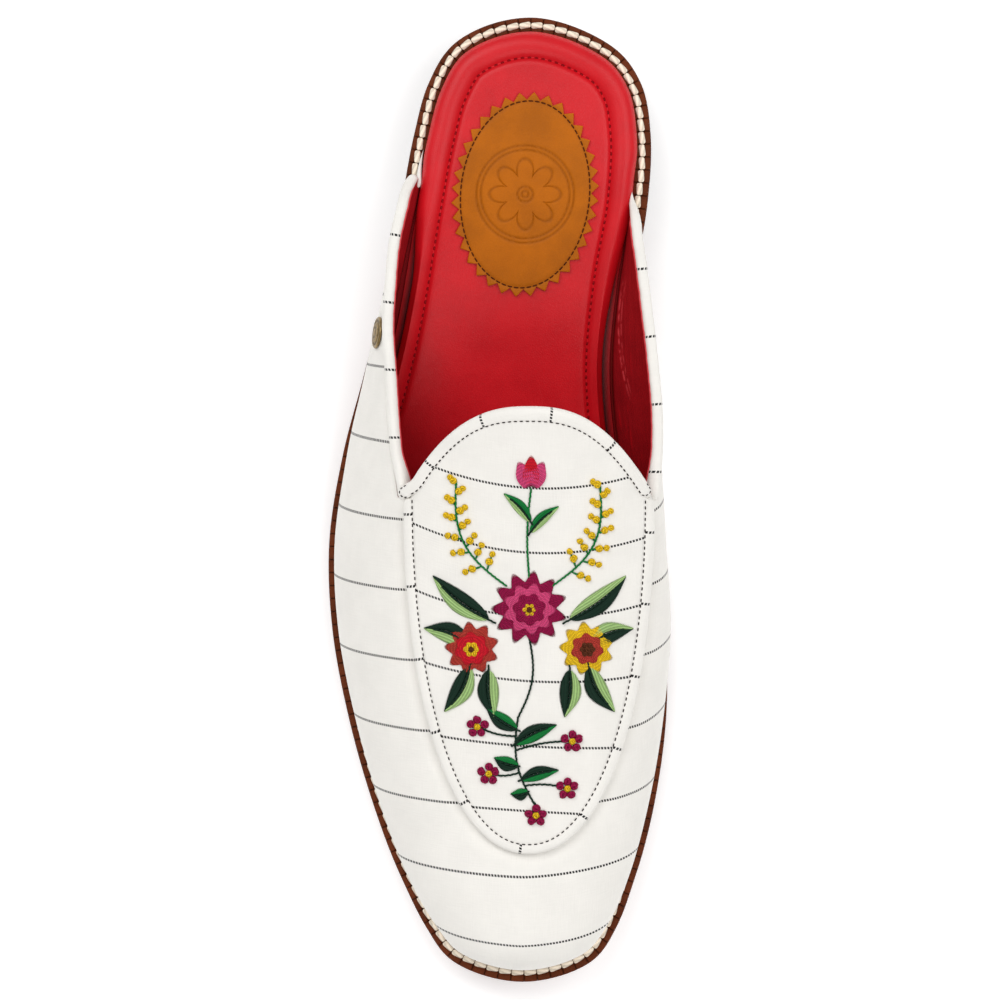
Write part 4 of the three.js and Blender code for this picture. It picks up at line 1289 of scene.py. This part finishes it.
def apron_distance(points):
    """Distance outside the apron's side and toe: the superellipse's level, less one, over its slope."""
    power = APRON_TOE_POWER
    a = np.abs(points[..., 0] - APRON_ACROSS) / APRON_HALF_WIDTH
    b = np.maximum(-points[..., 1], 0) / APRON_TOE
    level = np.maximum(a**power + b**power, 1e-6) ** (1 / power)
    slope = np.hypot((a / level) ** (power - 1) / APRON_HALF_WIDTH, (b / level) ** (power - 1) / APRON_TOE)
    return (level - 1) / slope


def pressed_in(points):
    """Depth of the valley beside the apron's ridge and of the creases: bells about their lines in plan."""
    depth = VALLEY["depth"] * bell(apron_distance(points) - VALLEY["beside"], VALLEY["width"])
    depth = depth * smoothstep(-points[..., 1], *VALLEY["start"])
    columns = CREASES.column
    starts = np.stack([columns["across"], columns["along"]], 1)
    runs = np.stack([columns["end_across"], columns["end_along"]], 1) - starts
    offset = points[..., None, :2] - starts
    share = np.clip((offset * runs).sum(-1) / (runs**2).sum(-1), 0, 1)
    away = np.linalg.norm(offset - share[..., None] * runs, axis=-1)
    ends = np.sin(np.pi * np.clip(share, 0.02, 0.98))
    creases = columns["depth"] * bell(away, columns["width"]) * ends
    return depth + creases.sum(-1)


def upper_skin():
    """The upper's outer face: both quarters, the vamp and the toe, pressed in along its own normals."""
    skin = Skin()
    tip = front_block("lateral")[0][-1]
    for side in SIDES:
        for block in (quarter_block, front_block):
            points, shares = block(side)
            if block is front_block:
                points[-1] = tip
            out = np.cross(np.gradient(points, axis=0), np.gradient(points, axis=1)) * -SIGN[side]
            out /= np.maximum(np.linalg.norm(out, axis=-1, keepdims=True), 1e-9)
            chart = stripe_chart(side, points, shares)
            depth = pressed_in(points)[..., None]
            points = points - out * depth
            points[:, 0, 2] -= GAP
            skin.add(points, chart, flip=side == "medial")
    return skin


def make_upper(finish, sewing):
    """The upper: striped canvas outside, and a red leather lining set in by the canvas's thickness."""
    cloth = sewing.cloth / MM
    canvas = upper_skin().piece("upper_cloth", canvas_material(finish), "cloth", ["upper"], weld=UPPER_WELD)
    give_wall(canvas, cloth)
    lining = upper_skin().piece("upper_lining", lining_finish(finish), "insole_leather", weld=UPPER_WELD)
    moved_along_normals(lining.data, -cloth - LINING_GAP)
    give_wall(lining, sewing.lining / MM)


# Apron
TAB = {"start": 29.5, "end": 33, "level": 3.55, "slope": 0.72, "round": 1.8}
TAB_REACH = {"lateral": 35.4, "medial": 33.2}
TAB_SEAM = {"start": 3.2, "edge": 0.2, "reach": 1.35, "middle": 1.575, "half_width": 1.375}
THROAT_SECTION = (
    (0.15, -1.5), (-0.2, -1.35), (-0.4, -0.6), (-0.4, 0.3), (-0.05, 1.0), (0.7, 1.35), (1.6, 1.42),
    (2.6, 1.34), (3.1, 1.05), (3.2, 0.5), (1.8, 0.1), (0.5, -0.1),
)
RIDGE_SECTION = (
    (0.3, -0.2), (0.02, 0.3), (0.1, 0.9), (0.6, 1.45), (1.4, 1.65), (2.2, 1.5), (2.7, 1.1), (2.8, 0.5),
    (1.5, -0.2),
)
RIDGE_ROUND = 2.5
APRON_BORDER = np.array([(1.5, 0.3), (2.1, 0.75), (2.7, 1.0), (3.4, APRON_TOP)])
APRON_SEAM_RISE = {"full": 1.22, "least": 1.14}


def end_scale(from_end, ends):
    """Height of a bound edge against its distance from an end: a share at the end, eased to one."""
    return lerp(ends, 1, smoothstep(from_end, 2, 10))


def throat_band(steps):
    """The throat's bound edge from the inner side: the arch, whose outer end runs on flatter as a tab."""
    reach = np.linspace(TAB_REACH["medial"], -TAB_REACH["lateral"], 900)
    across = APRON_ACROSS + reach
    tab = TAB["level"] - TAB["slope"] * (np.abs(reach) - TAB["end"])
    along = lerp(throat_along(across), tab, smoothstep(-reach, TAB["start"], TAB["end"]))
    return directed(evenly(np.stack([across, along], 1), steps))


def apron_bar(line, section, tick, rounded, ends, name, finish):
    """A bound edge: a closed section carried along a line on the upper and rounded off at both ends."""
    section = closed_curve(np.array(section, float), 3)
    reach = reaches(line[:, :2])
    from_end = np.minimum(reach, reach[-1] - reach)[:, None]
    swell = np.sqrt(1 - np.clip(1 - from_end / rounded, 0, 1) ** 2)
    middle = section.mean(0)
    distance = middle[0] + (section[:, 0] - middle[0]) * swell
    rise = (middle[1] + (section[:, 1] - middle[1]) * swell**0.7) * end_scale(from_end, ends)
    plan = inset(line[:, None], distance)
    points = above_upper(plan[..., 0], plan[..., 1], rise)
    place = reach - reach[-1] / 2 - tick["first"]
    along = place * (1 + tick["growth"] * np.abs(place)) * STRIPE_PITCH / tick["pitch"]
    around = np.append(reaches(section), reaches(section)[-1] + 1)
    chart = np.stack(np.broadcast_arrays(around, along[:, None]), -1)
    skin = Skin().add(points, chart, wrap=True)
    return skin.piece(name, canvas_material(finish), "cloth", ["apron_binding"])


def apron_seam(line, from_start, distance, ends):
    """A seam on a bound edge, from lengths along its line and insets from it."""
    reach = reaches(line[:, :2])
    rows = walked(line, reach, from_start)
    plan = inset(rows, distance)
    from_end = np.minimum(from_start, reach[-1] - from_start)
    rise = np.maximum(APRON_SEAM_RISE["full"] * end_scale(from_end, ends), APRON_SEAM_RISE["least"])
    return above_upper(plan[:, 0], plan[:, 1], rise)


def apron_loop(steps):
    """The apron's whole edge from the throat's middle down the outer side and back, with eased directions."""
    fine = 800
    throat, toe = throat_line(fine)[:, :2], toe_line(2 * fine)[:, :2]
    half = evenly(np.vstack([throat[fine // 2 :], toe[1 : fine + 1]]), steps)
    half[[0, -1], 0] = APRON_ACROSS
    mirrored = half * (-1, 1) + (2 * APRON_ACROSS, 0)
    loop = np.vstack([half, mirrored[-2:0:-1]])
    run = np.roll(loop, -1, axis=0) - np.roll(loop, 1, axis=0)
    reach = 4
    run = unit(sum(np.roll(run, shift, axis=0) for shift in range(-reach, reach + 1)))
    return with_outward(loop, run)


def apron_chart(points):
    """Chart of the apron: distance across, and distance along with the stripes' slant and sag undone."""
    across, along = points[..., 0] - APRON_ACROSS, points[..., 1]
    sag = APRON_STRIPE_SAG.at("sag", along) * (across / 31) ** 2
    sag = sag - APRON_STRIPE_SAG.at("lower", along)
    level = along + APRON_STRIPE["slant"] * across - sag - APRON_STRIPE["first"]
    level = np.minimum(level, 0.85 * APRON_STRIPE["pitch"])
    return np.stack([across, level * STRIPE_PITCH / APRON_STRIPE["pitch"]], -1)


def make_apron(finish, sewing):
    """The apron: a canvas panel that dips under its bound edge, a throat binding, a ridge and their seam."""
    loop = apron_loop(150)
    closed = np.vstack([loop, loop[:1]])
    plan = inset(closed[:, None], APRON_BORDER[:, 0])
    edge = above_upper(plan[..., 0], plan[..., 1], APRON_BORDER[:, 1])
    skin = Skin().add(edge, apron_chart(edge))
    share = (1 - np.cos(np.linspace(0, np.pi, 61))) / 2
    half = len(loop) // 2
    lateral = plan[: half + 1, -1]
    medial = plan[half:, -1][::-1]
    middle = lerp(lateral[:, None], medial[:, None], share[:, None])
    panel = above_upper(middle[..., 0], middle[..., 1], APRON_TOP)
    skin.add(panel, apron_chart(panel))
    sheet = skin.piece("apron_panel", canvas_material(finish), "cloth", ["apron"], weld=0.01)
    give_wall(sheet, sewing.cloth / MM)

    throat, throat_ends = throat_band(300), 1.25
    ridge, ridge_ends = toe_line(520), 0.7
    apron_bar(throat, THROAT_SECTION, THROAT_TICK, TAB["round"], throat_ends, "throat_binding", finish)
    apron_bar(ridge, RIDGE_SECTION, RIDGE_TICK, RIDGE_ROUND, ridge_ends, "apron_ridge", finish)

    stitches = Skin()
    for line, start, distance, ends, radius in (
        (throat, TAB["round"], 2.95, throat_ends, 0.22), (ridge, 0.5, 2.72, ridge_ends, 0.18),
    ):
        length = reaches(line[:, :2])[-1]
        seam = apron_seam(line, np.linspace(start, length - start, 900), np.full(900, distance), ends)
        add_stitches(stitches, seam, UP, sewing.apron_pitch / MM, dash=1.0, radius=radius)
    turn = np.linspace(-QUARTER_TURN, QUARTER_TURN, 40)
    lead = np.linspace(TAB_SEAM["start"], TAB["round"], 8)[:-1]
    from_end = np.concatenate([lead, TAB["round"] - TAB_SEAM["reach"] * np.cos(turn)])
    swing = TAB_SEAM["middle"] + TAB_SEAM["half_width"] * np.sin(turn)
    across_tab = np.concatenate([np.full_like(lead, TAB_SEAM["edge"]), swing])
    length = reaches(throat[:, :2])[-1]
    for from_start in (from_end, length - from_end):
        seam = apron_seam(throat, from_start, across_tab, throat_ends)
        add_stitches(stitches, seam, UP, pitch=1.35, dash=0.85, radius=0.18)
    stitches.piece("apron_stitches", thread_finish("apron_thread", finish.apron_thread), "cloth")


# Collar and rivet
COLLAR_TAIL = {
    "start": 85.8, "end": 96.4, "inset": (4.0, 3.4), "bow": 0.3, "rise": (1.5, 0.2), "radius": 0.85,
}
COLLAR_ROLL = {"start": -1.2, "front": 2, "power": 2.4, "lift": 1.1, "half_height": 1.5, "girth": 8.2}
BEAD = {"radius": 0.36, "stand_out": 1.02, "fade": 3}
RIVET_PROFILE = np.array([
    (0, 0, 0), (4.2, 0, 0), (4.42, 0.3, 0), (4.4, 0.75, 0), (4.1, 1.1, 0), (3.75, 1.12, 0.3), (3.45, 0.9, 1),
    (3.2, 0.92, 1), (2.95, 1.2, 0.5), (2.6, 1.42, 0), (2.2, 1.56, 0), (1.75, 1.6, 0.4), (1.45, 1.5, 1),
    (1.2, 1.58, 0.6), (0.8, 1.8, 0), (0.4, 1.88, 0), (0, 1.9, 0),
])
RIVET_BEADS = {"count": 16, "height": 0.09, "radius": 2.4, "width": 0.35}
RIVET_FLAT = 0.7
RIVET_STAND_OFF = 0.05


def edge_rows(side, along):
    """Rows of the sole's edge at distances along the shoe."""
    rows = SOLE.side(side)
    return walked(rows, -rows[:, 1], -along)


def collar_tail(steps):
    """The binding's tail on the outer side: a thin point that lies on the welt beside the footbed."""
    share = np.linspace(0, 1, steps)
    along = lerp(COLLAR_TAIL["start"], COLLAR_TAIL["end"], share)
    distance = lerp(*COLLAR_TAIL["inset"], share) - COLLAR_TAIL["bow"] * np.sin(np.pi * share)
    plan = inset(edge_rows("lateral", along), distance)
    line = raised(plan, upper_seat(along) + lerp(*COLLAR_TAIL["rise"], smoothstep(share, 0, 0.8)))
    thickness = COLLAR_TAIL["radius"] * np.sqrt(np.clip(share * 7, 0, 1)) * (1 - share**1.4)
    return tube_grid(line, thickness, 10)


def make_collar(finish):
    """The collar: a rolled binding on each quarter's edge, gathered at the notch, with a bead inside it."""
    turn = np.linspace(0, 2 * np.pi, 22, endpoint=False)
    power = 2 / COLLAR_ROLL["power"]
    round_out = np.sign(np.cos(turn)) * np.abs(np.cos(turn)) ** power
    round_up = np.sign(np.sin(turn)) * np.abs(np.sin(turn)) ** power
    start, front_reach = COLLAR_ROLL["start"], COLLAR_ROLL["front"]
    lift, half_height = COLLAR_ROLL["lift"], COLLAR_ROLL["half_height"]
    beads = Skin()
    for side in SIDES:
        shape = QUARTER_SHAPE[side]
        along = lerp(start, shape["tip"], np.sin(np.linspace(0, QUARTER_TURN, 170)))
        outer, out, up = wall_frame(side, along, wall_top(side, along))
        gather = shape["gather"] * smoothstep(-along, -13, -3)
        outer[:, 0] -= SIGN[side] * (quarter_tuck(side, along) + gather)
        middle = outer - out * WALL / 2
        rear = (1 - np.clip((along - shape["tip"]) / shape["round"] + 1, 0, 1) ** 2) ** shape["point"]
        front = np.sqrt(1 - np.clip(1 - (along - start) / front_reach, 0, 1) ** 2)
        swell = (rear * front)[:, None]
        ripple = 1 + 0.035 * np.sin(along * 1.7) * np.sin(along * 0.53) + 0.5 * gather
        half_width = BINDING_WIDTH / 2 * ripple[:, None]
        sideways = out[:, None] * (round_out * half_width * swell)[..., None]
        upwards = up[:, None] * (lift + round_up * half_height * swell)[..., None]
        points = middle[:, None] + sideways + upwards
        tick = COLLAR_TICK[side]
        level = np.minimum((along - tick["first"]) * STRIPE_PITCH / tick["pitch"], 3.5 * STRIPE_PITCH)
        around = np.linspace(0, COLLAR_ROLL["girth"], len(turn) + 1)
        chart = np.stack(np.broadcast_arrays(around, level[:, None]), -1)
        skin = Skin().add(points, chart, wrap=True, flip=side == "lateral")
        if side == "lateral":
            tail = collar_tail(40)
            skin.add(tail, np.full((len(tail), tail.shape[1] + 1, 2), STRIPE_PITCH / 2), wrap=True)
        name = f"collar_binding_{side}"
        skin.piece(f"{name}_roll", canvas_material(finish), "cloth", [name])
        lean = np.stack([out[:, 0] * half_width[:, 0], -up[:, 0] * half_height], 1) * SIGN[side]
        inmost = unit(lean) * swell * BEAD["stand_out"]
        bead = middle - out * half_width * inmost[:, :1] + up * (lift + half_height * inmost[:, 1:])
        fade = smoothstep(shape["tip"] - along, shape["bead"], shape["bead"] + BEAD["fade"])
        radius = BEAD["radius"] * np.sqrt(swell[:, 0]) * fade
        beads.add(tube_grid(bead, radius, 8), tube_chart(bead, 8), wrap=True)
    beads.piece("collar_piping", piping_finish(finish), "insole_leather")


def make_rivet(finish):
    """The rivet: a turned profile with a rolled rim, a groove and a beaded dome, on the outer quarter."""
    along = np.array(RIVET_ALONG)
    rise = COLLAR.at("lateral", along) - BINDING_HEIGHT - RIVET_BELOW_BINDING
    outer, out, up = wall_frame("lateral", along, rib_at("lateral", along).share_at_rise(rise))
    sideways = np.cross(up, out)
    turn = np.linspace(0, 2 * np.pi, 48, endpoint=False)
    radius, height, recess = RIVET_PROFILE.T
    beads = RIVET_BEADS["height"] * np.cos(turn * RIVET_BEADS["count"])[:, None]
    beads = beads * bell(radius - RIVET_BEADS["radius"], RIVET_BEADS["width"])
    circle = sideways * np.cos(turn)[:, None] + up * np.sin(turn)[:, None]
    lift = height * RIVET_FLAT + beads + RIVET_STAND_OFF
    points = outer + circle[:, None] * radius[:, None] + out * lift[..., None]
    points = np.concatenate([points, points[:1]])
    chart = np.broadcast_to(np.stack([recess, recess], -1), points.shape[:2] + (2,))
    Skin().add(points, chart).piece("rivet_cap", brass_finish(finish), "brass", ["rivet"])


# Embroidery
FLOSS = {
    "crimson": (142, 18, 66),
    "scarlet": (196, 26, 42),
    "rose_pink": (205, 70, 118),
    "brick": (172, 58, 48),
    "gold": (226, 186, 34),
    "umber": (92, 48, 28),
    "pine": (24, 48, 36),
    "grass": (22, 118, 56),
    "celery": (158, 190, 122),
}


def ring_of(count, first=0.0):
    """Directions spread evenly round a circle, from a first angle."""
    turn = first + np.arange(count) * 2 * np.pi / count
    return np.stack([np.cos(turn), np.sin(turn)], 1)


class Embroidery:
    """Stitches laid on the apron in plan, gathered by colour of thread."""

    def __init__(self, radius):
        self.radius = radius
        self.skins = {}

    def lay(self, colour, plan, crown=0.3, radius=None, power=6, sides=5, rise=None):
        """Bars along plan paths. A bar rises to its crown in the middle and closes at both ends."""
        steps = plan.shape[-2]
        share = np.linspace(0, 1, steps)
        rise = 0.1 + crown * np.sqrt(np.sin(np.pi * share)) if rise is None else rise
        points = above_upper(plan[..., 0], plan[..., 1], APRON_TOP + rise)
        thickness = (radius or self.radius) * closing(np.linspace(-1, 1, steps), power)
        skin = self.skins.setdefault(colour, Skin())
        skin.add(tube_grid(points, thickness, sides), tube_chart(points, sides), wrap=True)

    def leaf(self, base, tip, width, near, far, vein, bend=0.0):
        """A leaf: slanted satin stitches from the vein out to both edges, whose width swells as a sine."""
        base, tip = np.array(base, float), np.array(tip, float)
        run = tip - base
        length = np.hypot(*run)
        normal = np.array([-run[1], run[0]]) / length
        count = int(length / (self.radius * 1.25))
        start = np.linspace(0.0, 0.9, count)[:, None]
        end = np.linspace(0.12, 1.0, count)[:, None]

        def spine(share):
            return base + run * share + normal * bend * np.sin(np.pi * share)

        swell = width / 2 * np.sin(np.pi * end**0.85) ** 0.9
        share = np.linspace(0, 1, 5)[:, None]
        for sign, colour in ((1, near), (-1, far)):
            edge = spine(end) + normal * sign * swell
            middle = spine(start) + normal * sign * 0.05
            self.lay(colour, lerp(middle[:, None], edge[:, None], share), crown=0.35)
        self.stem(spine(np.linspace(-0.12, 0.8, 30)[:, None]), vein, lift=0.62)

    def stem(self, line, colour, lift=0.2):
        """Stem stitch: short bars that overlap along a line, each slanted a little across it."""
        line = evenly(np.asarray(line, float), 200)
        reach = reaches(line)
        count = max(2, int(reach[-1] / 1.3))
        middle = np.linspace(0.5, count - 0.5, count)[:, None] * reach[-1] / count
        offset = np.linspace(-1, 1, 5)
        paths = walked(line, reach, np.clip(middle + offset * 1.05, 0, reach[-1]))
        run = unit(np.gradient(paths, axis=1))
        across = np.stack([-run[..., 1], run[..., 0]], -1)
        self.lay(colour, paths + across * (offset * 0.14)[:, None], crown=lift)

    def petal(self, centre, angle, reach, width, colour, start=0.8, crown=0.4, lift=0.1):
        """A petal: long stitches side by side that spread from its foot and shorten towards its edges."""
        count = max(3, int(width / (self.radius * 1.35)))
        side = np.linspace(-1, 1, count)[:, None]
        share = np.linspace(0, 1, 7)
        length = start + (reach - start) * share * (1 - 0.24 * side**2)
        away = side * width / 2 * np.sin(np.pi * (0.12 + 0.7 * share)) ** 0.8
        direction = np.array([np.cos(angle), np.sin(angle)])
        normal = np.array([-direction[1], direction[0]])
        plan = np.array(centre) + direction * length[..., None] + normal * away[..., None]
        self.lay(colour, plan, rise=lift + crown * np.sqrt(np.sin(np.pi * share)))

    def knots(self, centres, colour, size=0.85, lift=0.15):
        """Knots: each a coil that winds in to its middle as it climbs."""
        centres = np.array(centres, float)
        share = np.linspace(0, 1, 20)
        turn = 2 * np.pi * 1.7 * share + centres[:, :1] * 5
        radius = size * (0.72 - 0.6 * share)
        coil = centres[:, None] + radius[:, None] * np.stack([np.cos(turn), np.sin(turn)], -1)
        self.lay(colour, coil, radius=size * 0.42, power=10, rise=lift + size * 0.75 * share)

    def bloom(self, centre, radius, rings, heart):
        """A flower: rings of petals, each shorter, higher and turned half a step, about a heart of knots."""
        for level, (count, share, colour) in enumerate(rings):
            reach = radius * share
            width = reach * 4.6 / count
            lift = 0.1 + 0.5 * level
            for angle in (np.arange(count) + level / 2) * 2 * np.pi / count + 0.3:
                self.petal(centre, angle, reach, width, colour, start=0.5, crown=0.45, lift=lift)
        self.knots(np.array(centre) + ring_of(6) * 1.3, heart[0], size=0.95, lift=1.0)
        self.knots([centre], heart[1], size=1.0, lift=1.2)


def arc(start, end, bow, steps=40):
    """A bowed line in plan: a straight one pushed sideways by half a sine."""
    start, end = np.array(start, float), np.array(end, float)
    share = np.linspace(0, 1, steps)[:, None]
    run = end - start
    normal = np.array([-run[1], run[0]]) / np.hypot(*run)
    return lerp(start, end, share) + normal * bow * np.sin(np.pi * share)


def mimosa(work, start, end, bow):
    """A spray: a bowed stem with stalked pairs of gold knots on alternate sides."""
    line = arc(start, end, bow)
    work.stem(line, "grass")
    count = 12
    pairs = np.linspace(9, 39, count).astype(int)
    at, run = line[pairs], unit(np.gradient(line, axis=0))[pairs]
    across = np.stack([-run[:, 1], run[:, 0]], 1) * np.where(np.arange(count) % 2, 1, -1)[:, None]
    inner = at + across * np.linspace(2.3, 0.7, count)[:, None]
    outer = at + across * np.linspace(4.5, 1.7, count)[:, None] + run * 0.8
    foot = at - run * 1.3
    stalks = lerp(foot[:, None], outer[:, None], np.linspace(0, 0.9, 7)[:, None])
    work.lay("grass", stalks, crown=0.2)
    work.knots(inner, "gold", size=1.15)
    work.knots(outer, "gold", size=0.95)


def make_embroidery(sewing):
    """The embroidery: a posy of layered flowers and leaves, sprays of gold knots, a bud and a long stem."""
    work = Embroidery(sewing.floss / MM)
    trail = np.vstack([arc((8, -38), (5, -60), 2.4), arc((5, -60), (9.5, -84), -2.6)[1:]])
    work.stem(trail, "pine")
    for at, tip, width in (
        (44, (-3.5, -57.5), 4.6), (50, (15.5, -62), 4.8), (60, (-1.5, -71), 4.4), (66, (16, -74.5), 4.2),
        (72, (3, -81), 3.6),
    ):
        work.leaf(trail[at], tip, width, "pine", "grass", "pine", bend=0.5)
    for at, centre in (
        (47, (-6, -62.5)), (53, (19.5, -66.5)), (63, (-3, -75.5)), (69, (18.2, -79.5)), (76, (9.8, -87)),
    ):
        work.stem(arc(trail[at], centre, bow=0.7), "pine")
        work.knots(np.array(centre) + ring_of(5, 0.3) * 1.95, "crimson", size=1.25)
        work.knots([centre], "gold", size=1.1)

    mimosa(work, (2, -24), (-11.5, 5), 5.5)
    mimosa(work, (14, -24), (27, 4), -5.5)
    work.stem(arc((8, -22), (8.5, 3), bow=0.8), "grass")
    for angle, reach, colour in ((0.42, 8.4, "rose_pink"), (-0.42, 8.4, "rose_pink"), (0, 9.4, "scarlet")):
        work.petal((8.5, 2.6), QUARTER_TURN + angle, reach, 4.2, colour, start=0.6)
    work.leaf((8.3, -6), (1.2, 1.5), 3.4, "celery", "grass", "pine", bend=-0.6)
    work.leaf((8.3, -9), (16, -2), 3.4, "grass", "celery", "pine", bend=0.6)

    for base, tip, bend in (
        ((-3, -33), (-18, -21), 1.2), ((-8, -40), (-20.5, -35.5), -1.2), ((-8, -46), (-15, -58.5), 1.2),
        ((19, -33), (34, -21), -1.2), ((24, -40), (36, -35.5), 1.2), ((24, -46), (31, -58.5), -1.2),
        ((-3, -47), (-1.5, -60), -0.8), ((19, -47), (17.5, -60), 0.8),
    ):
        work.leaf(base, tip, 6.2, "celery", "pine", "pine", bend)
    work.bloom((-7.5, -41), 7.6, ((9, 1, "brick"), (7, 0.66, "scarlet")), ("gold", "umber"))
    work.bloom((23.5, -41), 7.6, ((9, 1, "gold"), (7, 0.62, "brick")), ("umber", "umber"))
    middle_rings = ((11, 1, "crimson"), (9, 0.72, "rose_pink"), (7, 0.46, "crimson"))
    work.bloom((8, -30), 10.6, middle_rings, ("gold", "umber"))
    for name, skin in work.skins.items():
        thread = thread_finish(f"floss_{name}", linear(*FLOSS[name]), pitch=0.9)
        skin.piece(f"embroidery_{name}", thread, "cloth")


# Stage
CAMERA_HEIGHT = 6.0
CAMERA_SPAN = 0.275
CAMERA_LEVEL = 0.025
CAMERA_ALONG = -0.0007
CAMERA_CLIP = 20
SENSOR = 36.0
LIGHTS = (
    ("key", (-0.75, 0.95, 1.9), 1.3, 21.0),
    ("fill", (0.95, 0.25, 1.8), 1.2, 13.0),
    ("toe_fill", (0.1, -1.3, 1.6), 1.2, 9.0),
)
WORLD_LIGHT = 0.42
FLOOR_GLOW = 0.3
FLOOR_REACH = 4000
FLOOR_TONES = (0.93, 0.95)


def make_stage():
    """The stage: a white floor, soft lights round the shoe, and a camera that looks straight down on it."""
    scene = bpy.context.scene
    scene.view_settings.view_transform = "Standard"
    low, high = -FLOOR_REACH, FLOOR_REACH
    corners = np.array([[(low, low, 0), (low, high, 0)], [(high, low, 0), (high, high, 0)]], float)
    paper = Shader("paper_floor")
    grain = paper.noise(paper.place(), size=3)
    colour = paper.mix(grain, *((tone, tone, tone, 1) for tone in FLOOR_TONES))
    floor = bpy.data.objects.new("floor", Skin().add(corners).mesh("floor", 0.001))
    glow = {"emission_color": (1, 1, 1, 1), "emission_strength": FLOOR_GLOW}
    floor.data.materials.append(paper.close(colour, 0.9, specular_ior_level=0.1, **glow))
    scene.collection.objects.link(floor)
    for name, place, size, power in LIGHTS:
        lamp = bpy.data.lights.new(name, "AREA")
        lamp.energy = power
        lamp.size = size
        obj = bpy.data.objects.new(name, lamp)
        obj.location = place
        obj.rotation_euler = (-Vector(place)).to_track_quat("-Z", "Y").to_euler()
        scene.collection.objects.link(obj)
    world = bpy.data.worlds.new("soft_sky")
    world.use_nodes = True
    sky = world.node_tree.nodes["Background"]
    sky.inputs["Color"].default_value = (1, 1, 1, 1)
    sky.inputs["Strength"].default_value = WORLD_LIGHT
    scene.world = world
    lens = bpy.data.cameras.new("overhead")
    lens.sensor_width = SENSOR
    lens.lens = SENSOR * (CAMERA_HEIGHT - CAMERA_LEVEL) / CAMERA_SPAN
    lens.clip_end = CAMERA_CLIP
    camera = bpy.data.objects.new("overhead", lens)
    camera.location = (0, CAMERA_ALONG, CAMERA_HEIGHT)
    scene.collection.objects.link(camera)
    scene.camera = camera


# Operators
class MULE_OT_stage(bpy.types.Operator):
    """Make the floor, the lights and the camera"""

    bl_idname = "mule.stage"
    bl_label = "Stage"

    def execute(self, context):
        make_stage()
        return {"FINISHED"}


class MULE_OT_sole(bpy.types.Operator):
    """Make the outsole and the stacked heel"""

    bl_idname = "mule.sole"
    bl_label = "Outsole and heel"

    def execute(self, context):
        make_outsole(context.scene.mule_finish)
        make_heel(context.scene.mule_finish)
        return {"FINISHED"}


class MULE_OT_welt(bpy.types.Operator):
    """Make the welt and the sole seam"""

    bl_idname = "mule.welt"
    bl_label = "Welt"

    def execute(self, context):
        make_welt(context.scene.mule_finish, context.scene.mule_sewing)
        return {"FINISHED"}


class MULE_OT_insole(bpy.types.Operator):
    """Make the padded footbed and its seam"""

    bl_idname = "mule.insole"
    bl_label = "Footbed"

    def execute(self, context):
        make_insole(context.scene.mule_finish, context.scene.mule_sewing)
        return {"FINISHED"}


class MULE_OT_patch(bpy.types.Operator):
    """Make the pinked heel patch and its seam"""

    bl_idname = "mule.patch"
    bl_label = "Heel patch"

    def execute(self, context):
        make_patch(context.scene.mule_finish, context.scene.mule_sewing)
        return {"FINISHED"}


class MULE_OT_upper(bpy.types.Operator):
    """Make the canvas upper and its lining"""

    bl_idname = "mule.upper"
    bl_label = "Upper"

    def execute(self, context):
        make_upper(context.scene.mule_finish, context.scene.mule_sewing)
        return {"FINISHED"}


class MULE_OT_apron(bpy.types.Operator):
    """Make the apron, its bound edges and their seam"""

    bl_idname = "mule.apron"
    bl_label = "Apron"

    def execute(self, context):
        make_apron(context.scene.mule_finish, context.scene.mule_sewing)
        return {"FINISHED"}


class MULE_OT_collar(bpy.types.Operator):
    """Make the rolled collar bindings and their beads"""

    bl_idname = "mule.collar"
    bl_label = "Collar"

    def execute(self, context):
        make_collar(context.scene.mule_finish)
        return {"FINISHED"}


class MULE_OT_rivet(bpy.types.Operator):
    """Make the brass rivet"""

    bl_idname = "mule.rivet"
    bl_label = "Rivet"

    def execute(self, context):
        make_rivet(context.scene.mule_finish)
        return {"FINISHED"}


class MULE_OT_embroidery(bpy.types.Operator):
    """Make the embroidered posy on the apron"""

    bl_idname = "mule.embroidery"
    bl_label = "Embroidery"

    def execute(self, context):
        make_embroidery(context.scene.mule_sewing)
        return {"FINISHED"}


OPERATORS = (
    MULE_OT_stage, MULE_OT_sole, MULE_OT_welt, MULE_OT_insole, MULE_OT_patch, MULE_OT_upper, MULE_OT_apron,
    MULE_OT_collar, MULE_OT_rivet, MULE_OT_embroidery,
)


class MULE_PT_dresser(bpy.types.Panel):
    """Lists the pieces of the mule and the settings that they read"""

    bl_idname = "MULE_PT_dresser"
    bl_label = "Mule"
    bl_space_type = "VIEW_3D"
    bl_region_type = "UI"
    bl_category = "Mule"

    def draw(self, context):
        for group in (context.scene.mule_finish, context.scene.mule_sewing):
            for name in group.__annotations__:
                self.layout.prop(group, name)
        for operator in OPERATORS:
            self.layout.operator(operator.bl_idname)


CLASSES = (MuleFinish, MuleSewing, *OPERATORS, MULE_PT_dresser)


def register():
    """Registers the classes and hangs the settings on the scene."""
    for entry in CLASSES:
        bpy.utils.register_class(entry)
    bpy.types.Scene.mule_finish = PointerProperty(type=MuleFinish)
    bpy.types.Scene.mule_sewing = PointerProperty(type=MuleSewing)


def unregister():
    """Takes the settings and the classes away again."""
    del bpy.types.Scene.mule_sewing
    del bpy.types.Scene.mule_finish
    for entry in reversed(CLASSES):
        bpy.utils.unregister_class(entry)


def main():
    register()
    for operator in OPERATORS:
        getattr(bpy.ops.mule, operator.bl_idname.split(".")[1])()


if __name__ == "__main__":
    main()
